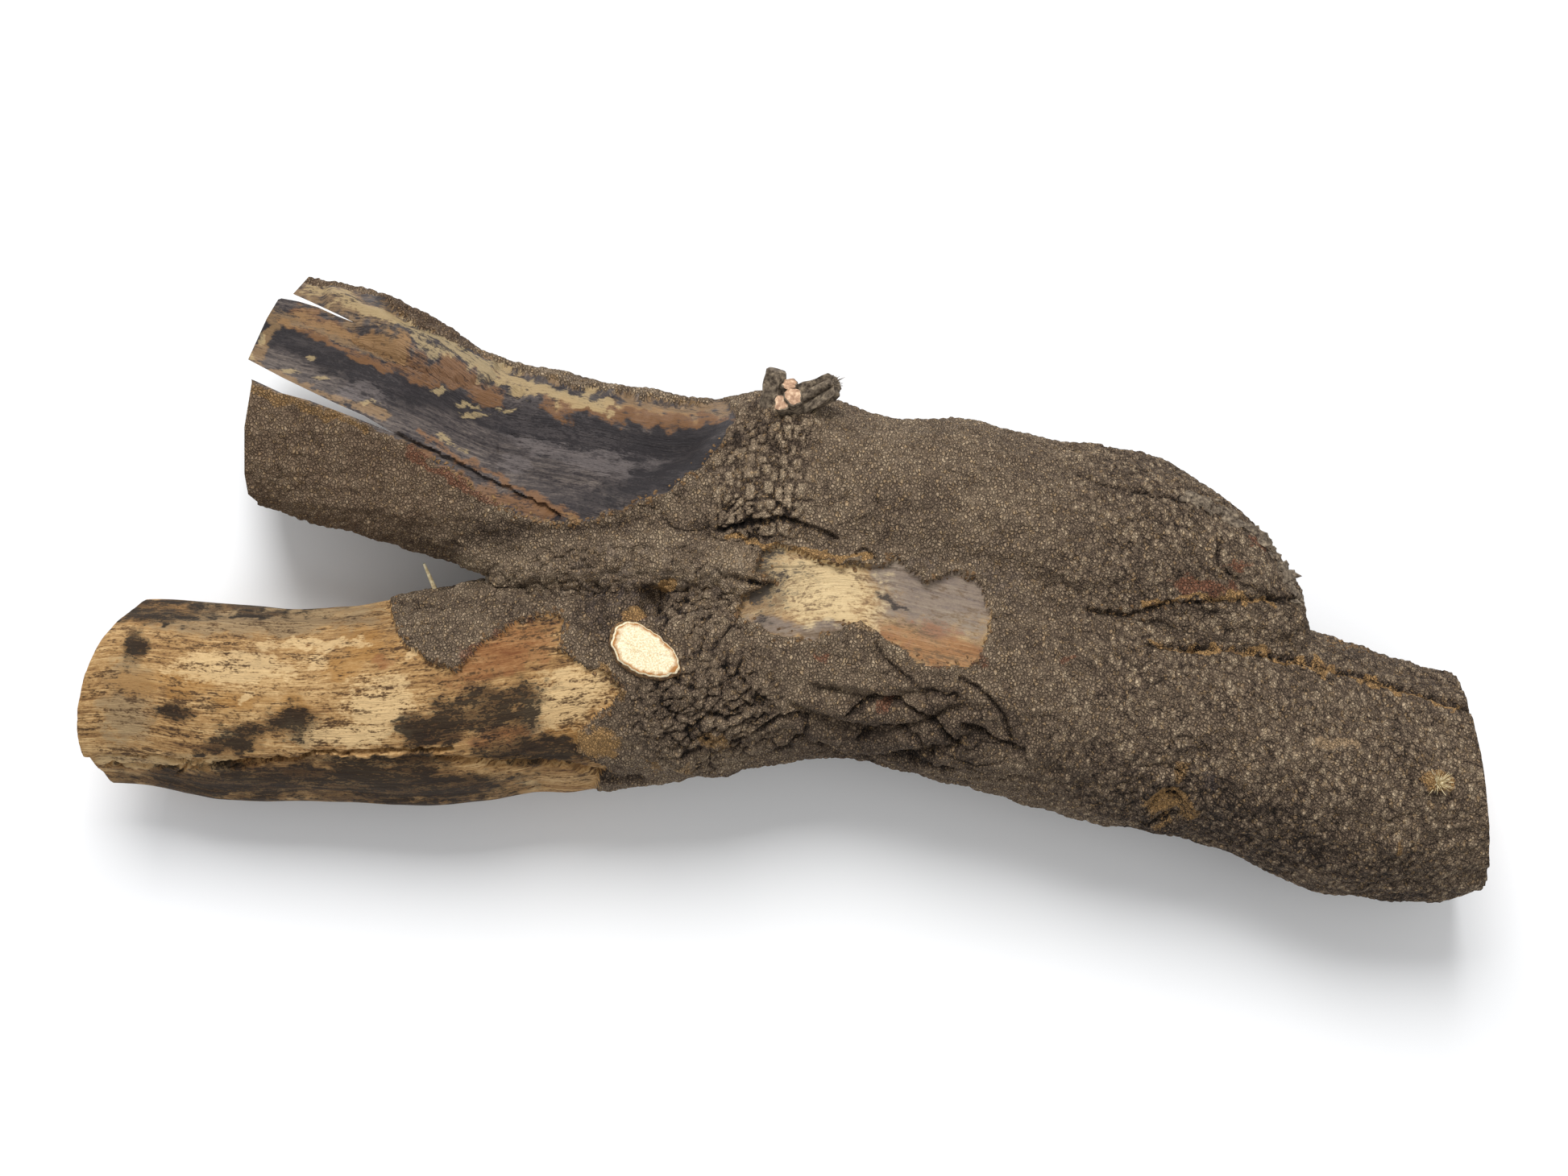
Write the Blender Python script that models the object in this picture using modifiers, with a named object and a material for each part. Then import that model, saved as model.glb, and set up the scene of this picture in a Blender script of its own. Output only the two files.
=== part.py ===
"""A forked piece of driftwood, lying on its flattest side, modelled as one solid.

Two stems grew side by side. The lower one runs from end to end, from the bare limb on
the left to the thick sawn end on the right. The upper one ends in a broken stub on the
right, and on the left it leaves the crotch as a branch that has split into three tongues.

Sizes are in millimetres and become metres where the meshes are made. +Z is up and the
origin is on the resting plane, below the middle of the wood. Plan outlines are drawn as
an eye above the wood sees them, on a plane through its middle, square to the sight line.
"""
import math

import bmesh
import bpy
import numpy as np
from mathutils import Matrix, Vector, noise
from mathutils.bvhtree import BVHTree

MM = 0.001

# The eye that the plan outlines are drawn from, and the point it looks at.
EYE = np.array((0.0, -140.0, 1200.0))
AIM = np.array((0.0, 0.0, 65.0))

VOXEL = 3.0
RING_STEP = 10.0
RING_SIDES = 48
FACE_BUDGET = 10400
CREASE_PASSES = 5
HAIR = 0.08

# How deep the torn and worn places lie below the bark.
BARK_STEP = 3.5
BRANCH_STEP = 2.5
TROUGH_DEPTH = 13.0
TROUGH_SLOPE = 21.0
LEDGE_DROP = 3.5
LEDGE_SIDE = -91
LEDGE_END = -110
BARE_ROUGHNESS = 0.2

# Bark relief: size of each kind of lump along the three axes, and its height.
ROPES = ((34, 13, 13), 1.4)
PLATES = ((15, 12, 12), 1.3)
SWELLS = ((70, 45, 45), 2.0)

# Draped folds of bark below the scar: what they curve round, where they lie, their pitch and height.
FOLD_HUB = (50, 15)
FOLD_MIDDLE = (50, -72)
FOLD_REACH = (62, 30)
FOLD_PITCH = 15
FOLD_HEIGHT = 2.2

# Stations along each stem: place along the wood, place across it, height of the middle,
# half the width as seen, half the height.
LOWER_STEM = [
    (-380, -60, 48, 47, 49),
    (-341, -57, 49, 51, 50),
    (-300, -62, 49, 54, 51),
    (-246, -64, 55, 53, 52),
    (-178, -60, 60, 59, 55),
    (-109, -50, 64, 58, 56),
    (-40, -42, 66, 57, 57),
    (29, -31, 67, 58, 58),
    (89, -42, 67, 61, 60),
    (158, -58, 65, 63, 60),
    (227, -72, 63, 64, 60),
    (287, -94, 61, 67, 61),
    (330, -103, 60, 62, 62),
    (353, -105, 60, 59, 61),
    (385, -106, 60, 46, 57),
]
UPPER_STEM = [
    (-310, 120, 86, 66, 37),
    (-270, 106, 85, 64, 37),
    (-216, 92, 82, 66, 41),
    (-185, 80, 80, 62, 43),
    (-158, 68, 78, 57, 46),
    (-109, 58, 75, 54, 50),
    (-53, 48, 72, 53, 55),
    (12, 46, 68, 58, 59),
    (55, 35, 64, 53, 60),
    (98, 33, 61, 56, 61),
    (141, 18, 60, 59, 62),
    (184, 10, 61, 63, 60),
    (227, -4, 63, 56, 56),
    (252, -14, 65, 43, 48),
    (271, -24, 66, 26, 32),
]

# The wood that fills the crease between the stems, given the same way.
CROTCH_WEB = [
    (-148, 10, 62, 16, 34),
    (-105, 10, 63, 32, 46),
    (-50, 7, 65, 44, 53),
    (10, 3, 65, 47, 57),
    (70, -4, 64, 46, 57),
    (130, -16, 63, 42, 54),
    (180, -30, 62, 36, 48),
    (225, -44, 61, 26, 36),
]

# Places where the bark is gone and the wood lies bare, as outlines in plan.
LIMB_BARE = [
    (-400, 12), (-210, 1), (-209, -15), (-203, -30), (-190, -39), (-175, -44), (-160, -28),
    (-143, -18), (-122, -12), (-117, -18), (-121, -30), (-108, -41), (-93, -46), (-88, -53),
    (-95, -66), (-108, -75), (-112, -88), (-92, -98), (-120, -130), (-400, -130),
]
BRANCH_BARE = [
    (-320, 190), (-221, 163), (-200, 142), (-178, 130), (-152, 119), (-117, 109), (-83, 103),
    (-53, 99), (-29, 100), (-25, 93), (-31, 82), (-44, 65), (-66, 50), (-87, 42), (-111, 35),
    (-122, 34), (-143, 39), (-160, 50), (-175, 61), (-195, 73), (-209, 81), (-238, 94),
    (-268, 104), (-284, 111), (-320, 124),
]
CENTRE_SCAR = [
    (-11, 20), (-2, 23), (19, 15), (31, 12), (52, 12), (59, 18), (75, 3), (92, 9), (102, 5),
    (112, -15), (104, -37), (95, -43), (71, -40), (53, -24), (40, -16), (25, -24), (13, -28),
    (-8, -24), (-25, -13), (-20, -4), (-5, 4), (-14, 9),
]

# The two splits that open the branch from its sawn end, and the cracks that carry them on.
LOWER_SPLIT = [
    (-330, 143), (-286, 122), (-267, 112), (-240, 99), (-224, 92), (-214, 86), (-207, 82),
    (-224, 89), (-253, 100), (-268, 104), (-283, 111), (-330, 127),
]
UPPER_SPLIT = [
    (-330, 176), (-281, 157), (-259, 153), (-249, 150), (-238, 145), (-230, 142),
    (-238, 146), (-253, 153), (-262, 157), (-300, 190), (-330, 206),
]
LOWER_CRACK = [(-207, 82), (-178, 67), (-160, 57), (-143, 48), (-122, 37)]
UPPER_CRACK = [(-230, 142), (-209, 130), (-196, 125), (-178, 118), (-140, 109)]
TORN_RIDGE = [(-240, 160), (-219, 148), (-205, 137), (-186, 131), (-158, 120)]

# Long cracks in the bark, and the ledge along the limb's near side.
LIMB_LEDGE = [(-365, -92), (-315, -96), (-289, -96), (-268, -92), (-246, -88), (-195, -86),
              (-160, -87), (-117, -92)]
END_CRACK = [(201, -32), (246, -35), (270, -37), (313, -50), (372, -66)]
STUB_CRACK = [(162, -12), (184, -17), (227, -17), (252, -12), (280, -6)]
CROTCH_SEAM = [(-165, 8), (-130, 14), (-95, 16), (-60, 18), (-30, 12)]

# Knots and hollows: plan place, radius, height above the bark.
SAWN_KNOT = (-75, -34)
SAWN_KNOT_RADII = (19.5, 12.0)
SAWN_KNOT_TURN = -35
KNOT_DEPTH = 18
KNOT_SINK = 6
KNOT_HOLLOW = (205, -115, 13, -3)
BARK_HOLLOW = (-73, -9, 12, -6)
END_KNOB = (326, -138, 7, 3.5)
FIBRE_BOSS = (349, -103, 9, 4)
EDGE_KNOT = (-55, -92, 8, 3)
LUMPS = (KNOT_HOLLOW, BARK_HOLLOW, END_KNOB, FIBRE_BOSS, EDGE_KNOT)

# Twigs and pegs: root in plan, how far the tip goes along, across and up, two radii.
TWIGS = {
    "standing_twig": ((-8, 99), (4, 16, 8), 6.0, 5.0),
    "lumpy_stub": ((9, 100), (19, 5, 12), 8.5, 5.5),
    "sawn_twig_far": ((1, 101), (-1, 4, 12), 5.0, 4.5),
    "sawn_twig_near": ((5, 97), (1, 3, 11), 5.5, 5.0),
    "sawn_twig_left": ((0, 94), (-2, 2, 8), 4.5, 4.0),
    "crotch_thorn": ((-180, -6), (-9, 16, 6), 1.8, 1.0),
    "crotch_peg": ((-158, 0), (0, 12, 4), 2.8, 2.2),
}
TWIG_SINK = 4

# Saw cuts across the lower stem: a point on the cut and the direction that is taken away.
LEFT_CUT = ((-350, -57, 50), (-0.942, 0.181, -0.283))
RIGHT_CUT = ((360, -106, 62), (0.986, 0.1, 0.135))
CUT_SIZE = 260
CUT_LOW = 20
CUT_HIGH = 150
FLOOR_DEPTH = 0.1

# What the saw took from the branch, in plan: its three tongues end a little apart.
BRANCH_CUT = [
    (-252, 168), (-262, 157), (-270, 154), (-276, 144), (-286, 122), (-284, 110), (-288, 86),
    (-288, 61), (-286, 50), (-281, 46), (-281, 30), (-370, 30), (-370, 210), (-235, 210),
]


def sight_frame():
    """The right, up and forward directions of the eye, and its distance."""
    forward = AIM - EYE
    distance = np.linalg.norm(forward)
    forward = forward / distance
    right = np.array((1.0, 0.0, 0.0))
    return right, np.cross(right, forward), forward, distance


RIGHT, UP, FORWARD, SIGHT = sight_frame()


def seen(points):
    """Where the eye sees each point, as plan places in millimetres."""
    offset = points - EYE
    depth = offset @ FORWARD
    return np.stack((offset @ RIGHT, offset @ UP), axis=1) * (SIGHT / depth)[:, None]


def at_height(plan, height):
    """The point at a height that the eye sees at a plan place."""
    ray = AIM + plan[0] * RIGHT + plan[1] * UP - EYE
    return EYE + ray * (height - EYE[2]) / ray[2]


def ramp(low, high, value):
    """Rises smoothly from 0 at low to 1 at high."""
    t = np.clip((value - low) / (high - low), 0.0, 1.0)
    return t * t * (3.0 - 2.0 * t)


def line_distance(places, line):
    """Distance from each plan place to a line of straight stretches."""
    nearest = np.full(len(places), np.inf)
    for start, end in zip(line[:-1], line[1:]):
        run = np.subtract(end, start)
        along = np.clip(((places - start) @ run) / (run @ run), 0.0, 1.0)
        gap = np.linalg.norm(places - start - along[:, None] * run, axis=1)
        nearest = np.minimum(nearest, gap)
    return nearest


def depth_inside(places, outline):
    """Distance inside a closed outline, negative outside it."""
    closed = outline + outline[:1]
    x, y = places[:, 0], places[:, 1]
    inside = np.zeros(len(places), bool)
    for (x0, y0), (x1, y1) in zip(closed[:-1], closed[1:]):
        if y0 != y1:
            crosses = (y0 > y) != (y1 > y)
            inside ^= crosses & (x < x0 + (y - y0) * (x1 - x0) / (y1 - y0))
    return np.where(inside, 1.0, -1.0) * line_distance(places, closed)


def wander(points, size, seed):
    """Smooth noise from -1 to 1 at each point, with lumps of a given size along each axis."""
    shift = Vector((seed * 17.3, seed * 5.1, seed * 9.7))
    scaled = points / np.array(size)
    return np.array([noise.noise(Vector(p) + shift) for p in scaled])


def through(stations, step):
    """Rows read at even steps from a smooth curve through the stations."""
    rows = np.array(stations, float)
    along = rows[:, 0]
    slope = np.gradient(rows, along, axis=0)
    fine = np.linspace(along[0], along[-1], int((along[-1] - along[0]) / step) + 1)
    before = np.clip(np.searchsorted(along, fine, side="right") - 1, 0, len(along) - 2)
    width = (along[before + 1] - along[before])[:, None]
    t = (fine - along[before])[:, None] / width
    blend = t * t * (3 - 2 * t)
    leave = t * (1 - t) ** 2 * width * slope[before]
    arrive = t * t * (1 - t) * width * slope[before + 1]
    return rows[before] * (1 - blend) + rows[before + 1] * blend + leave - arrive


def add_object(name, mesh, collection):
    """Link a mesh to a collection as a new object."""
    obj = bpy.data.objects.new(name, mesh)
    collection.objects.link(obj)
    return obj


def mesh_from(name, bm):
    """Finish a bmesh as a mesh with its faces pointing out."""
    bmesh.ops.recalc_face_normals(bm, faces=bm.faces)
    mesh = bpy.data.meshes.new(name)
    bm.to_mesh(mesh)
    bm.free()
    return mesh


def stem(name, stations, collection):
    """A stem lofted through upright oval rings along its stations."""
    bm = bmesh.new()
    ring_edges = []
    for along, across, height, half_width, half_height in through(stations, RING_STEP):
        middle = at_height((along, across), height)
        half_width *= (middle - EYE) @ FORWARD / SIGHT
        upright = Matrix(((0, 0, 1, 0), (1, 0, 0, 0), (0, 1, 0, 0), (0, 0, 0, 1)))
        oval = Matrix.Diagonal((half_width * MM, half_height * MM, 1, 1))
        ring = bmesh.ops.create_circle(
            bm, segments=RING_SIDES, radius=1,
            matrix=Matrix.Translation(Vector(middle * MM)) @ upright @ oval)
        ring_edges.append({edge for vert in ring["verts"] for edge in vert.link_edges})
    for near, far in zip(ring_edges[:-1], ring_edges[1:]):
        bmesh.ops.bridge_loops(bm, edges=list(near | far))
    bmesh.ops.holes_fill(bm, edges=[edge for edge in bm.edges if edge.is_boundary])
    return add_object(name, mesh_from(name, bm), collection)


def prism(name, outline, low, high, collection):
    """A cutter whose sides run along the eye's sight lines through a plan outline."""
    bm = bmesh.new()
    base = [bm.verts.new(Vector(at_height(place, low) * MM)) for place in outline]
    face = bm.faces.new(base)
    top = bmesh.ops.extrude_face_region(bm, geom=[face])["geom"]
    raised = [item for item in top if isinstance(item, bmesh.types.BMVert)]
    for vert in raised:
        place = seen(np.array([vert.co]) / MM)[0]
        vert.co = Vector(at_height(place, high) * MM)
    return cutter(add_object(name, mesh_from(name, bm), collection))


def block(name, cut, collection):
    """A box that takes away all that lies beyond a saw cut."""
    point, direction = cut
    away = Vector(direction).normalized()
    turn = away.to_track_quat("Z", "Y").to_matrix().to_4x4()
    place = Matrix.Translation(Vector(point) * MM) @ turn @ Matrix.Translation((0, 0, CUT_SIZE * MM / 2))
    bm = bmesh.new()
    bmesh.ops.create_cube(bm, size=CUT_SIZE * MM, matrix=place)
    return cutter(add_object(name, mesh_from(name, bm), collection))


def cutter(obj):
    """Keep a tool object out of the finished model."""
    obj.hide_render = True
    obj.display_type = "WIRE"
    return obj


def peg(name, root, tip, root_radius, tip_radius, collection, sides=10):
    """A short round twig between two points, cut square at its tip."""
    axis = Vector(tip) - Vector(root)
    turn = axis.to_track_quat("Z", "Y").to_matrix().to_4x4()
    middle = Matrix.Translation((Vector(root) + Vector(tip)) / 2 * MM)
    bm = bmesh.new()
    bmesh.ops.create_cone(
        bm, cap_ends=True, segments=sides, radius1=root_radius * MM, radius2=tip_radius * MM,
        depth=axis.length * MM, matrix=middle @ turn)
    return cutter(add_object(name, mesh_from(name, bm), collection))


def combine(obj, tool, operation):
    """Join a tool to an object, or cut it away, with a live modifier."""
    step = obj.modifiers.new(f"{operation.lower()} {tool.name}", "BOOLEAN")
    step.operation = operation
    step.solver = "EXACT"
    step.object = tool


def bake_modifiers(obj):
    """Replace an object's mesh by what its modifiers make of it."""
    graph = bpy.context.evaluated_depsgraph_get()
    obj.data = bpy.data.meshes.new_from_object(obj.evaluated_get(graph))
    obj.modifiers.clear()


def grow(collection, tools):
    """The two stems as one body, with a soft crease where they meet."""
    wood = stem("driftwood", LOWER_STEM, collection)
    combine(wood, cutter(stem("upper_stem", UPPER_STEM, tools)), "UNION")
    combine(wood, cutter(stem("crotch_web", CROTCH_WEB, tools)), "UNION")
    remesh = wood.modifiers.new("even skin", "REMESH")
    remesh.mode = "VOXEL"
    remesh.voxel_size = VOXEL * MM
    bake_modifiers(wood)
    bm = bmesh.new()
    bm.from_mesh(wood.data)
    for _ in range(CREASE_PASSES):
        bmesh.ops.smooth_vert(bm, verts=bm.verts, factor=0.5, use_axis_x=True,
                              use_axis_y=True, use_axis_z=True)
    bm.to_mesh(wood.data)
    bm.free()
    return wood


def bare_wood(places, facing):
    """How bare each place is, from 0 to 1, on the limb, the branch and the scar."""
    outlines = (LIMB_BARE, BRANCH_BARE, CENTRE_SCAR)
    return [ramp(-3, 2, depth_inside(places, outline)) * facing for outline in outlines]


def bark_relief(points):
    """Plates and ropes of bark, drawn coarser than life so that few faces hold them."""
    ropes = 1.0 - 2.0 * np.abs(wander(points, ROPES[0], 1))
    plates = wander(points, PLATES[0], 2)
    swells = wander(points, SWELLS[0], 3)
    return ROPES[1] * ropes + PLATES[1] * plates + SWELLS[1] * swells


def folds(places):
    """Bark pushed into draped folds below the scar."""
    radius = np.linalg.norm(places - FOLD_HUB, axis=1)
    edge = np.linalg.norm((places - FOLD_MIDDLE) / FOLD_REACH, axis=1)
    return FOLD_HEIGHT * np.sin(radius * math.tau / FOLD_PITCH) * ramp(1.0, 0.6, edge)


def groove(places, line, width, depth):
    """A crack that follows a line, deepest in its middle."""
    return -depth * ramp(width, 0, line_distance(places, line))


def splits_and_cracks(places, branch):
    """Everything that opened along the grain."""
    relief = groove(places, LOWER_CRACK, 6, 5)
    relief += groove(places, UPPER_CRACK, 5, 3)
    relief += groove(places, END_CRACK, 4, 3)
    relief += groove(places, STUB_CRACK, 4, 3)
    relief += groove(places, CROTCH_SEAM, 9, 5)
    relief += groove(places, LIMB_LEDGE, 5, 5)
    relief += 3.0 * ramp(7, 2, line_distance(places, TORN_RIDGE)) * branch
    return relief


def knots(places):
    """Round knots and hollows, each a smooth lump or dish."""
    relief = np.zeros(len(places))
    for along, across, radius, height in LUMPS:
        away = np.linalg.norm(places - (along, across), axis=1)
        relief += height * ramp(radius, radius * 0.3, away)
    along, across, radius, _ = KNOT_HOLLOW
    rim = np.abs(np.linalg.norm(places - (along, across), axis=1) - radius)
    return relief + 2.5 * ramp(6, 0, rim)


def weather(wood):
    """Press the torn, worn and grown relief into the surface."""
    mesh = wood.data
    count = len(mesh.vertices)
    points = np.empty(count * 3)
    mesh.vertices.foreach_get("co", points)
    points = points.reshape(count, 3) / MM
    normals = np.empty(count * 3)
    mesh.vertices.foreach_get("normal", normals)
    normals = normals.reshape(count, 3)

    to_eye = EYE - points
    to_eye /= np.linalg.norm(to_eye, axis=1)[:, None]
    facing = ramp(0.02, 0.3, np.sum(normals * to_eye, axis=1))
    places = seen(points)

    limb, branch, scar = bare_wood(places, facing)
    bare = np.maximum(np.maximum(limb, branch), scar)
    trough = TROUGH_DEPTH * ramp(0, TROUGH_SLOPE, depth_inside(places, BRANCH_BARE)) * facing
    trough *= 0.45 + 0.55 * ramp(-30, -60, places[:, 0])
    below_ledge = ramp(LEDGE_SIDE, LEDGE_SIDE - 6, places[:, 1])
    below_ledge *= ramp(LEDGE_END, LEDGE_END - 25, places[:, 0])

    shift = bark_relief(points) * (1.0 - (1.0 - BARE_ROUGHNESS) * bare)
    shift -= BARK_STEP * np.maximum(limb, scar) + BRANCH_STEP * branch + trough
    shift -= LEDGE_DROP * below_ledge
    shift += folds(places) * facing
    shift += splits_and_cracks(places, branch) * facing
    shift += knots(places) * facing
    points += normals * shift[:, None]
    mesh.vertices.foreach_set("co", (points * MM).ravel())
    mesh.update()


def thin_out(wood):
    """Keep faces where the relief needs them."""
    thin = wood.modifiers.new("fewer faces", "DECIMATE")
    wood.data.calc_loop_triangles()
    thin.ratio = FACE_BUDGET / len(wood.data.loop_triangles)
    bake_modifiers(wood)


def surface_finder(wood):
    """A function that gives the point and the normal that the eye sees at a plan place."""
    graph = bpy.context.evaluated_depsgraph_get()
    tree = BVHTree.FromObject(wood, graph)

    def find(place):
        ray = AIM + place[0] * RIGHT + place[1] * UP - EYE
        point, normal, _, _ = tree.ray_cast(Vector(EYE * MM), Vector(ray).normalized())
        return np.array(point) / MM, np.array(normal)

    return find


def add_sawn_knot(wood, find, tools):
    """The stump of a side branch, sawn flush just proud of the bark."""
    point, normal = find(SAWN_KNOT)
    turn = math.radians(SAWN_KNOT_TURN)
    long_way = math.cos(turn) * RIGHT + math.sin(turn) * UP
    short_way = np.cross(normal, long_way)
    long_way = np.cross(short_way, normal)
    axes = Matrix((long_way, short_way, normal)).transposed().to_4x4()
    oval = Matrix.Diagonal((*(np.array(SAWN_KNOT_RADII) * MM), MM, 1))
    bm = bmesh.new()
    bmesh.ops.create_cone(bm, cap_ends=True, segments=24, radius1=1.12, radius2=1.0, depth=KNOT_DEPTH,
                          matrix=Matrix.Translation(Vector(point - normal * KNOT_SINK) * MM)
                          @ axes @ oval)
    knot = cutter(add_object("sawn_knot", mesh_from("sawn_knot", bm), tools))
    combine(wood, knot, "UNION")


def add_twigs(wood, find, tools):
    """Twigs and sawn twig stumps, each rooted well inside the wood."""
    for name, (place, reach, root_radius, tip_radius) in TWIGS.items():
        point, normal = find(place)
        tip = point + np.array(reach)
        root = point - (np.array(reach) / np.linalg.norm(reach) + normal) * TWIG_SINK
        combine(wood, peg(name, root, tip, root_radius, tip_radius, tools), "UNION")


def saw_and_split(wood, tools):
    """The three saw cuts, the two splits and the flat spots that it rests on."""
    combine(wood, prism("lower_split", LOWER_SPLIT, CUT_LOW, CUT_HIGH, tools), "DIFFERENCE")
    combine(wood, prism("upper_split", UPPER_SPLIT, CUT_LOW, CUT_HIGH, tools), "DIFFERENCE")
    combine(wood, block("left_cut", LEFT_CUT, tools), "DIFFERENCE")
    combine(wood, block("right_cut", RIGHT_CUT, tools), "DIFFERENCE")
    combine(wood, prism("branch_cut", BRANCH_CUT, CUT_LOW, CUT_HIGH, tools), "DIFFERENCE")
    bm = bmesh.new()
    bmesh.ops.create_cube(bm, size=1, matrix=Matrix.Diagonal((1, 1, FLOOR_DEPTH, 1)))
    bmesh.ops.translate(bm, verts=bm.verts, vec=(0, 0, -FLOOR_DEPTH / 2))
    floor = cutter(add_object("resting_plane", mesh_from("resting_plane", bm), tools))
    combine(wood, floor, "DIFFERENCE")


def close_slivers(wood):
    """Merge the points that the cuts left closer together than a hair."""
    bm = bmesh.new()
    bm.from_mesh(wood.data)
    bmesh.ops.remove_doubles(bm, verts=bm.verts, dist=HAIR * MM)
    bm.to_mesh(wood.data)
    bm.free()


def centre(wood):
    """Put the origin on the resting plane, below the middle of the wood's box."""
    corners = np.array([corner[:] for corner in wood.bound_box])
    middle = (corners.min(axis=0) + corners.max(axis=0)) / 2
    wood.data.transform(Matrix.Translation((-middle[0], -middle[1], -corners[:, 2].min())))


def wood_material():
    """Dry weathered bark and wood: no gloss, dark brown."""
    material = bpy.data.materials.new("weathered_bark_and_wood")
    material.use_nodes = True
    shader = material.node_tree.nodes["Principled BSDF"]
    shader.inputs["Base Color"].default_value = (0.162, 0.122, 0.093, 1)
    shader.inputs["Roughness"].default_value = 0.85
    shader.inputs["Metallic"].default_value = 0.0
    return material


def build():
    for obj in list(bpy.data.objects):
        bpy.data.objects.remove(obj)
    collection = bpy.data.collections.new("driftwood")
    tools = bpy.data.collections.new("cutters")
    bpy.context.scene.collection.children.link(collection)
    bpy.context.scene.collection.children.link(tools)

    wood = grow(collection, tools)
    weather(wood)
    thin_out(wood)
    find = surface_finder(wood)
    add_sawn_knot(wood, find, tools)
    add_twigs(wood, find, tools)
    saw_and_split(wood, tools)
    bake_modifiers(wood)
    close_slivers(wood)
    centre(wood)
    wood.data.materials.clear()
    wood.data.materials.append(wood_material())


build()
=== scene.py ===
"""A forked piece of driftwood lying on a pale floor, seen from above.

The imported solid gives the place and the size. Here the same stems are grown again with a
finer skin: plated, pebbled and folded bark, worn bare wood, a stained trough, splits, saw
cuts, a sawn knot and twig stumps. Sizes are in millimetres and become metres where the
meshes are made. Plan places are as the camera sees them, on a plane through the wood's
middle, square to the sight line.
"""
import math
import random

import bmesh
import bpy
import numpy as np
from mathutils import Matrix, Vector, noise
from mathutils.bvhtree import BVHTree
from mathutils.kdtree import KDTree


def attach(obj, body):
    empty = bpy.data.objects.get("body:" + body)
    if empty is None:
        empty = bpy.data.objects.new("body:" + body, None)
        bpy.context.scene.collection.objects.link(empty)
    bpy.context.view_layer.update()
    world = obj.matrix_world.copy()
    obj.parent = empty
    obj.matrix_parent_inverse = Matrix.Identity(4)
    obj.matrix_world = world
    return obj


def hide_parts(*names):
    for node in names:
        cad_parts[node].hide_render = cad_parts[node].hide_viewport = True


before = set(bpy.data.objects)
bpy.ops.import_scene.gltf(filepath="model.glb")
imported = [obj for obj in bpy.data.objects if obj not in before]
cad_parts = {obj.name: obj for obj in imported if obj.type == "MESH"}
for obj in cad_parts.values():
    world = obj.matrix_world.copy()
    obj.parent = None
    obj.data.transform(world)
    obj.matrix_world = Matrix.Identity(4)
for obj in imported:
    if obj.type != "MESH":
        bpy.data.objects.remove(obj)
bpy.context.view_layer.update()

MM = 0.001

# The shift from the plan's middle to the frame's, the camera, and the point it looks at.
HOME = np.array((-1.96, 0.84, 0.0))
EYE = HOME + (0.0, -140.0, 1200.0)
AIM = HOME + (0.0, 0.0, 65.0)
PHOTO_WIDTH_MM = 836.8
SENSOR_MM = 36.0

# The grown skin: size of the first even mesh, rings of the stems, and smoothing of the creases.
VOXEL = 2.3
RING_STEP = 5.0
RING_SIDES = 96
STEM_RADIUS = 57.0
CREASE_PASSES = 9

# How deep the torn and worn places lie below the bark.
BARK_STEP = 3.5
BRANCH_STEP = 2.5
TROUGH_DEPTH = 13.0
TROUGH_SLOPE = 21.0
LEDGE_DROP = 3.5
LEDGE_SIDE = -91
LEDGE_END = -110
BARE_ROUGHNESS = 0.2

# Lumps of the bark: size along the three axes, and height.
ROPES = ((34, 13, 13), 1.6)
PLATES = ((15, 12, 12), 1.3)
SWELLS = ((70, 45, 45), 2.0)

# Draped folds of bark below the scar: what they curve round, where they lie, pitch and height.
FOLD_HUB = (50, 15)
FOLD_MIDDLE = (50, -72)
FOLD_REACH = (62, 30)
FOLD_PITCH = 15
FOLD_HEIGHT = 3.0

# Stations along each stem: place along the wood, place across it, height of the middle,
# half the width as seen, half the height.
LOWER_STEM = [
    (-380, -60, 48, 47, 49),
    (-341, -57, 49, 51, 50),
    (-300, -62, 49, 54, 51),
    (-246, -64, 55, 53, 52),
    (-178, -60, 60, 59, 55),
    (-109, -50, 64, 58, 56),
    (-40, -42, 66, 57, 57),
    (29, -31, 67, 58, 58),
    (89, -42, 67, 61, 60),
    (158, -58, 65, 63, 60),
    (227, -72, 63, 64, 60),
    (287, -94, 61, 67, 61),
    (330, -103, 60, 62, 62),
    (353, -105, 60, 59, 61),
    (385, -106, 60, 46, 57),
]
UPPER_STEM = [
    (-310, 120, 86, 66, 37),
    (-270, 106, 85, 64, 37),
    (-216, 92, 82, 66, 41),
    (-185, 80, 80, 62, 43),
    (-158, 68, 78, 57, 46),
    (-109, 58, 75, 54, 50),
    (-53, 48, 72, 53, 55),
    (12, 46, 68, 58, 59),
    (55, 35, 64, 53, 60),
    (98, 33, 61, 56, 61),
    (141, 18, 60, 59, 62),
    (184, 10, 61, 63, 60),
    (227, -4, 63, 56, 56),
    (252, -14, 65, 43, 48),
    (271, -24, 66, 26, 32),
]

# The wood that fills the crease between the stems, given the same way.
CROTCH_WEB = [
    (-148, 10, 62, 16, 34),
    (-105, 10, 63, 32, 46),
    (-50, 7, 65, 44, 53),
    (10, 3, 65, 47, 57),
    (70, -4, 64, 46, 57),
    (130, -16, 63, 42, 54),
    (180, -30, 62, 36, 48),
    (225, -44, 61, 26, 36),
]

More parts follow.
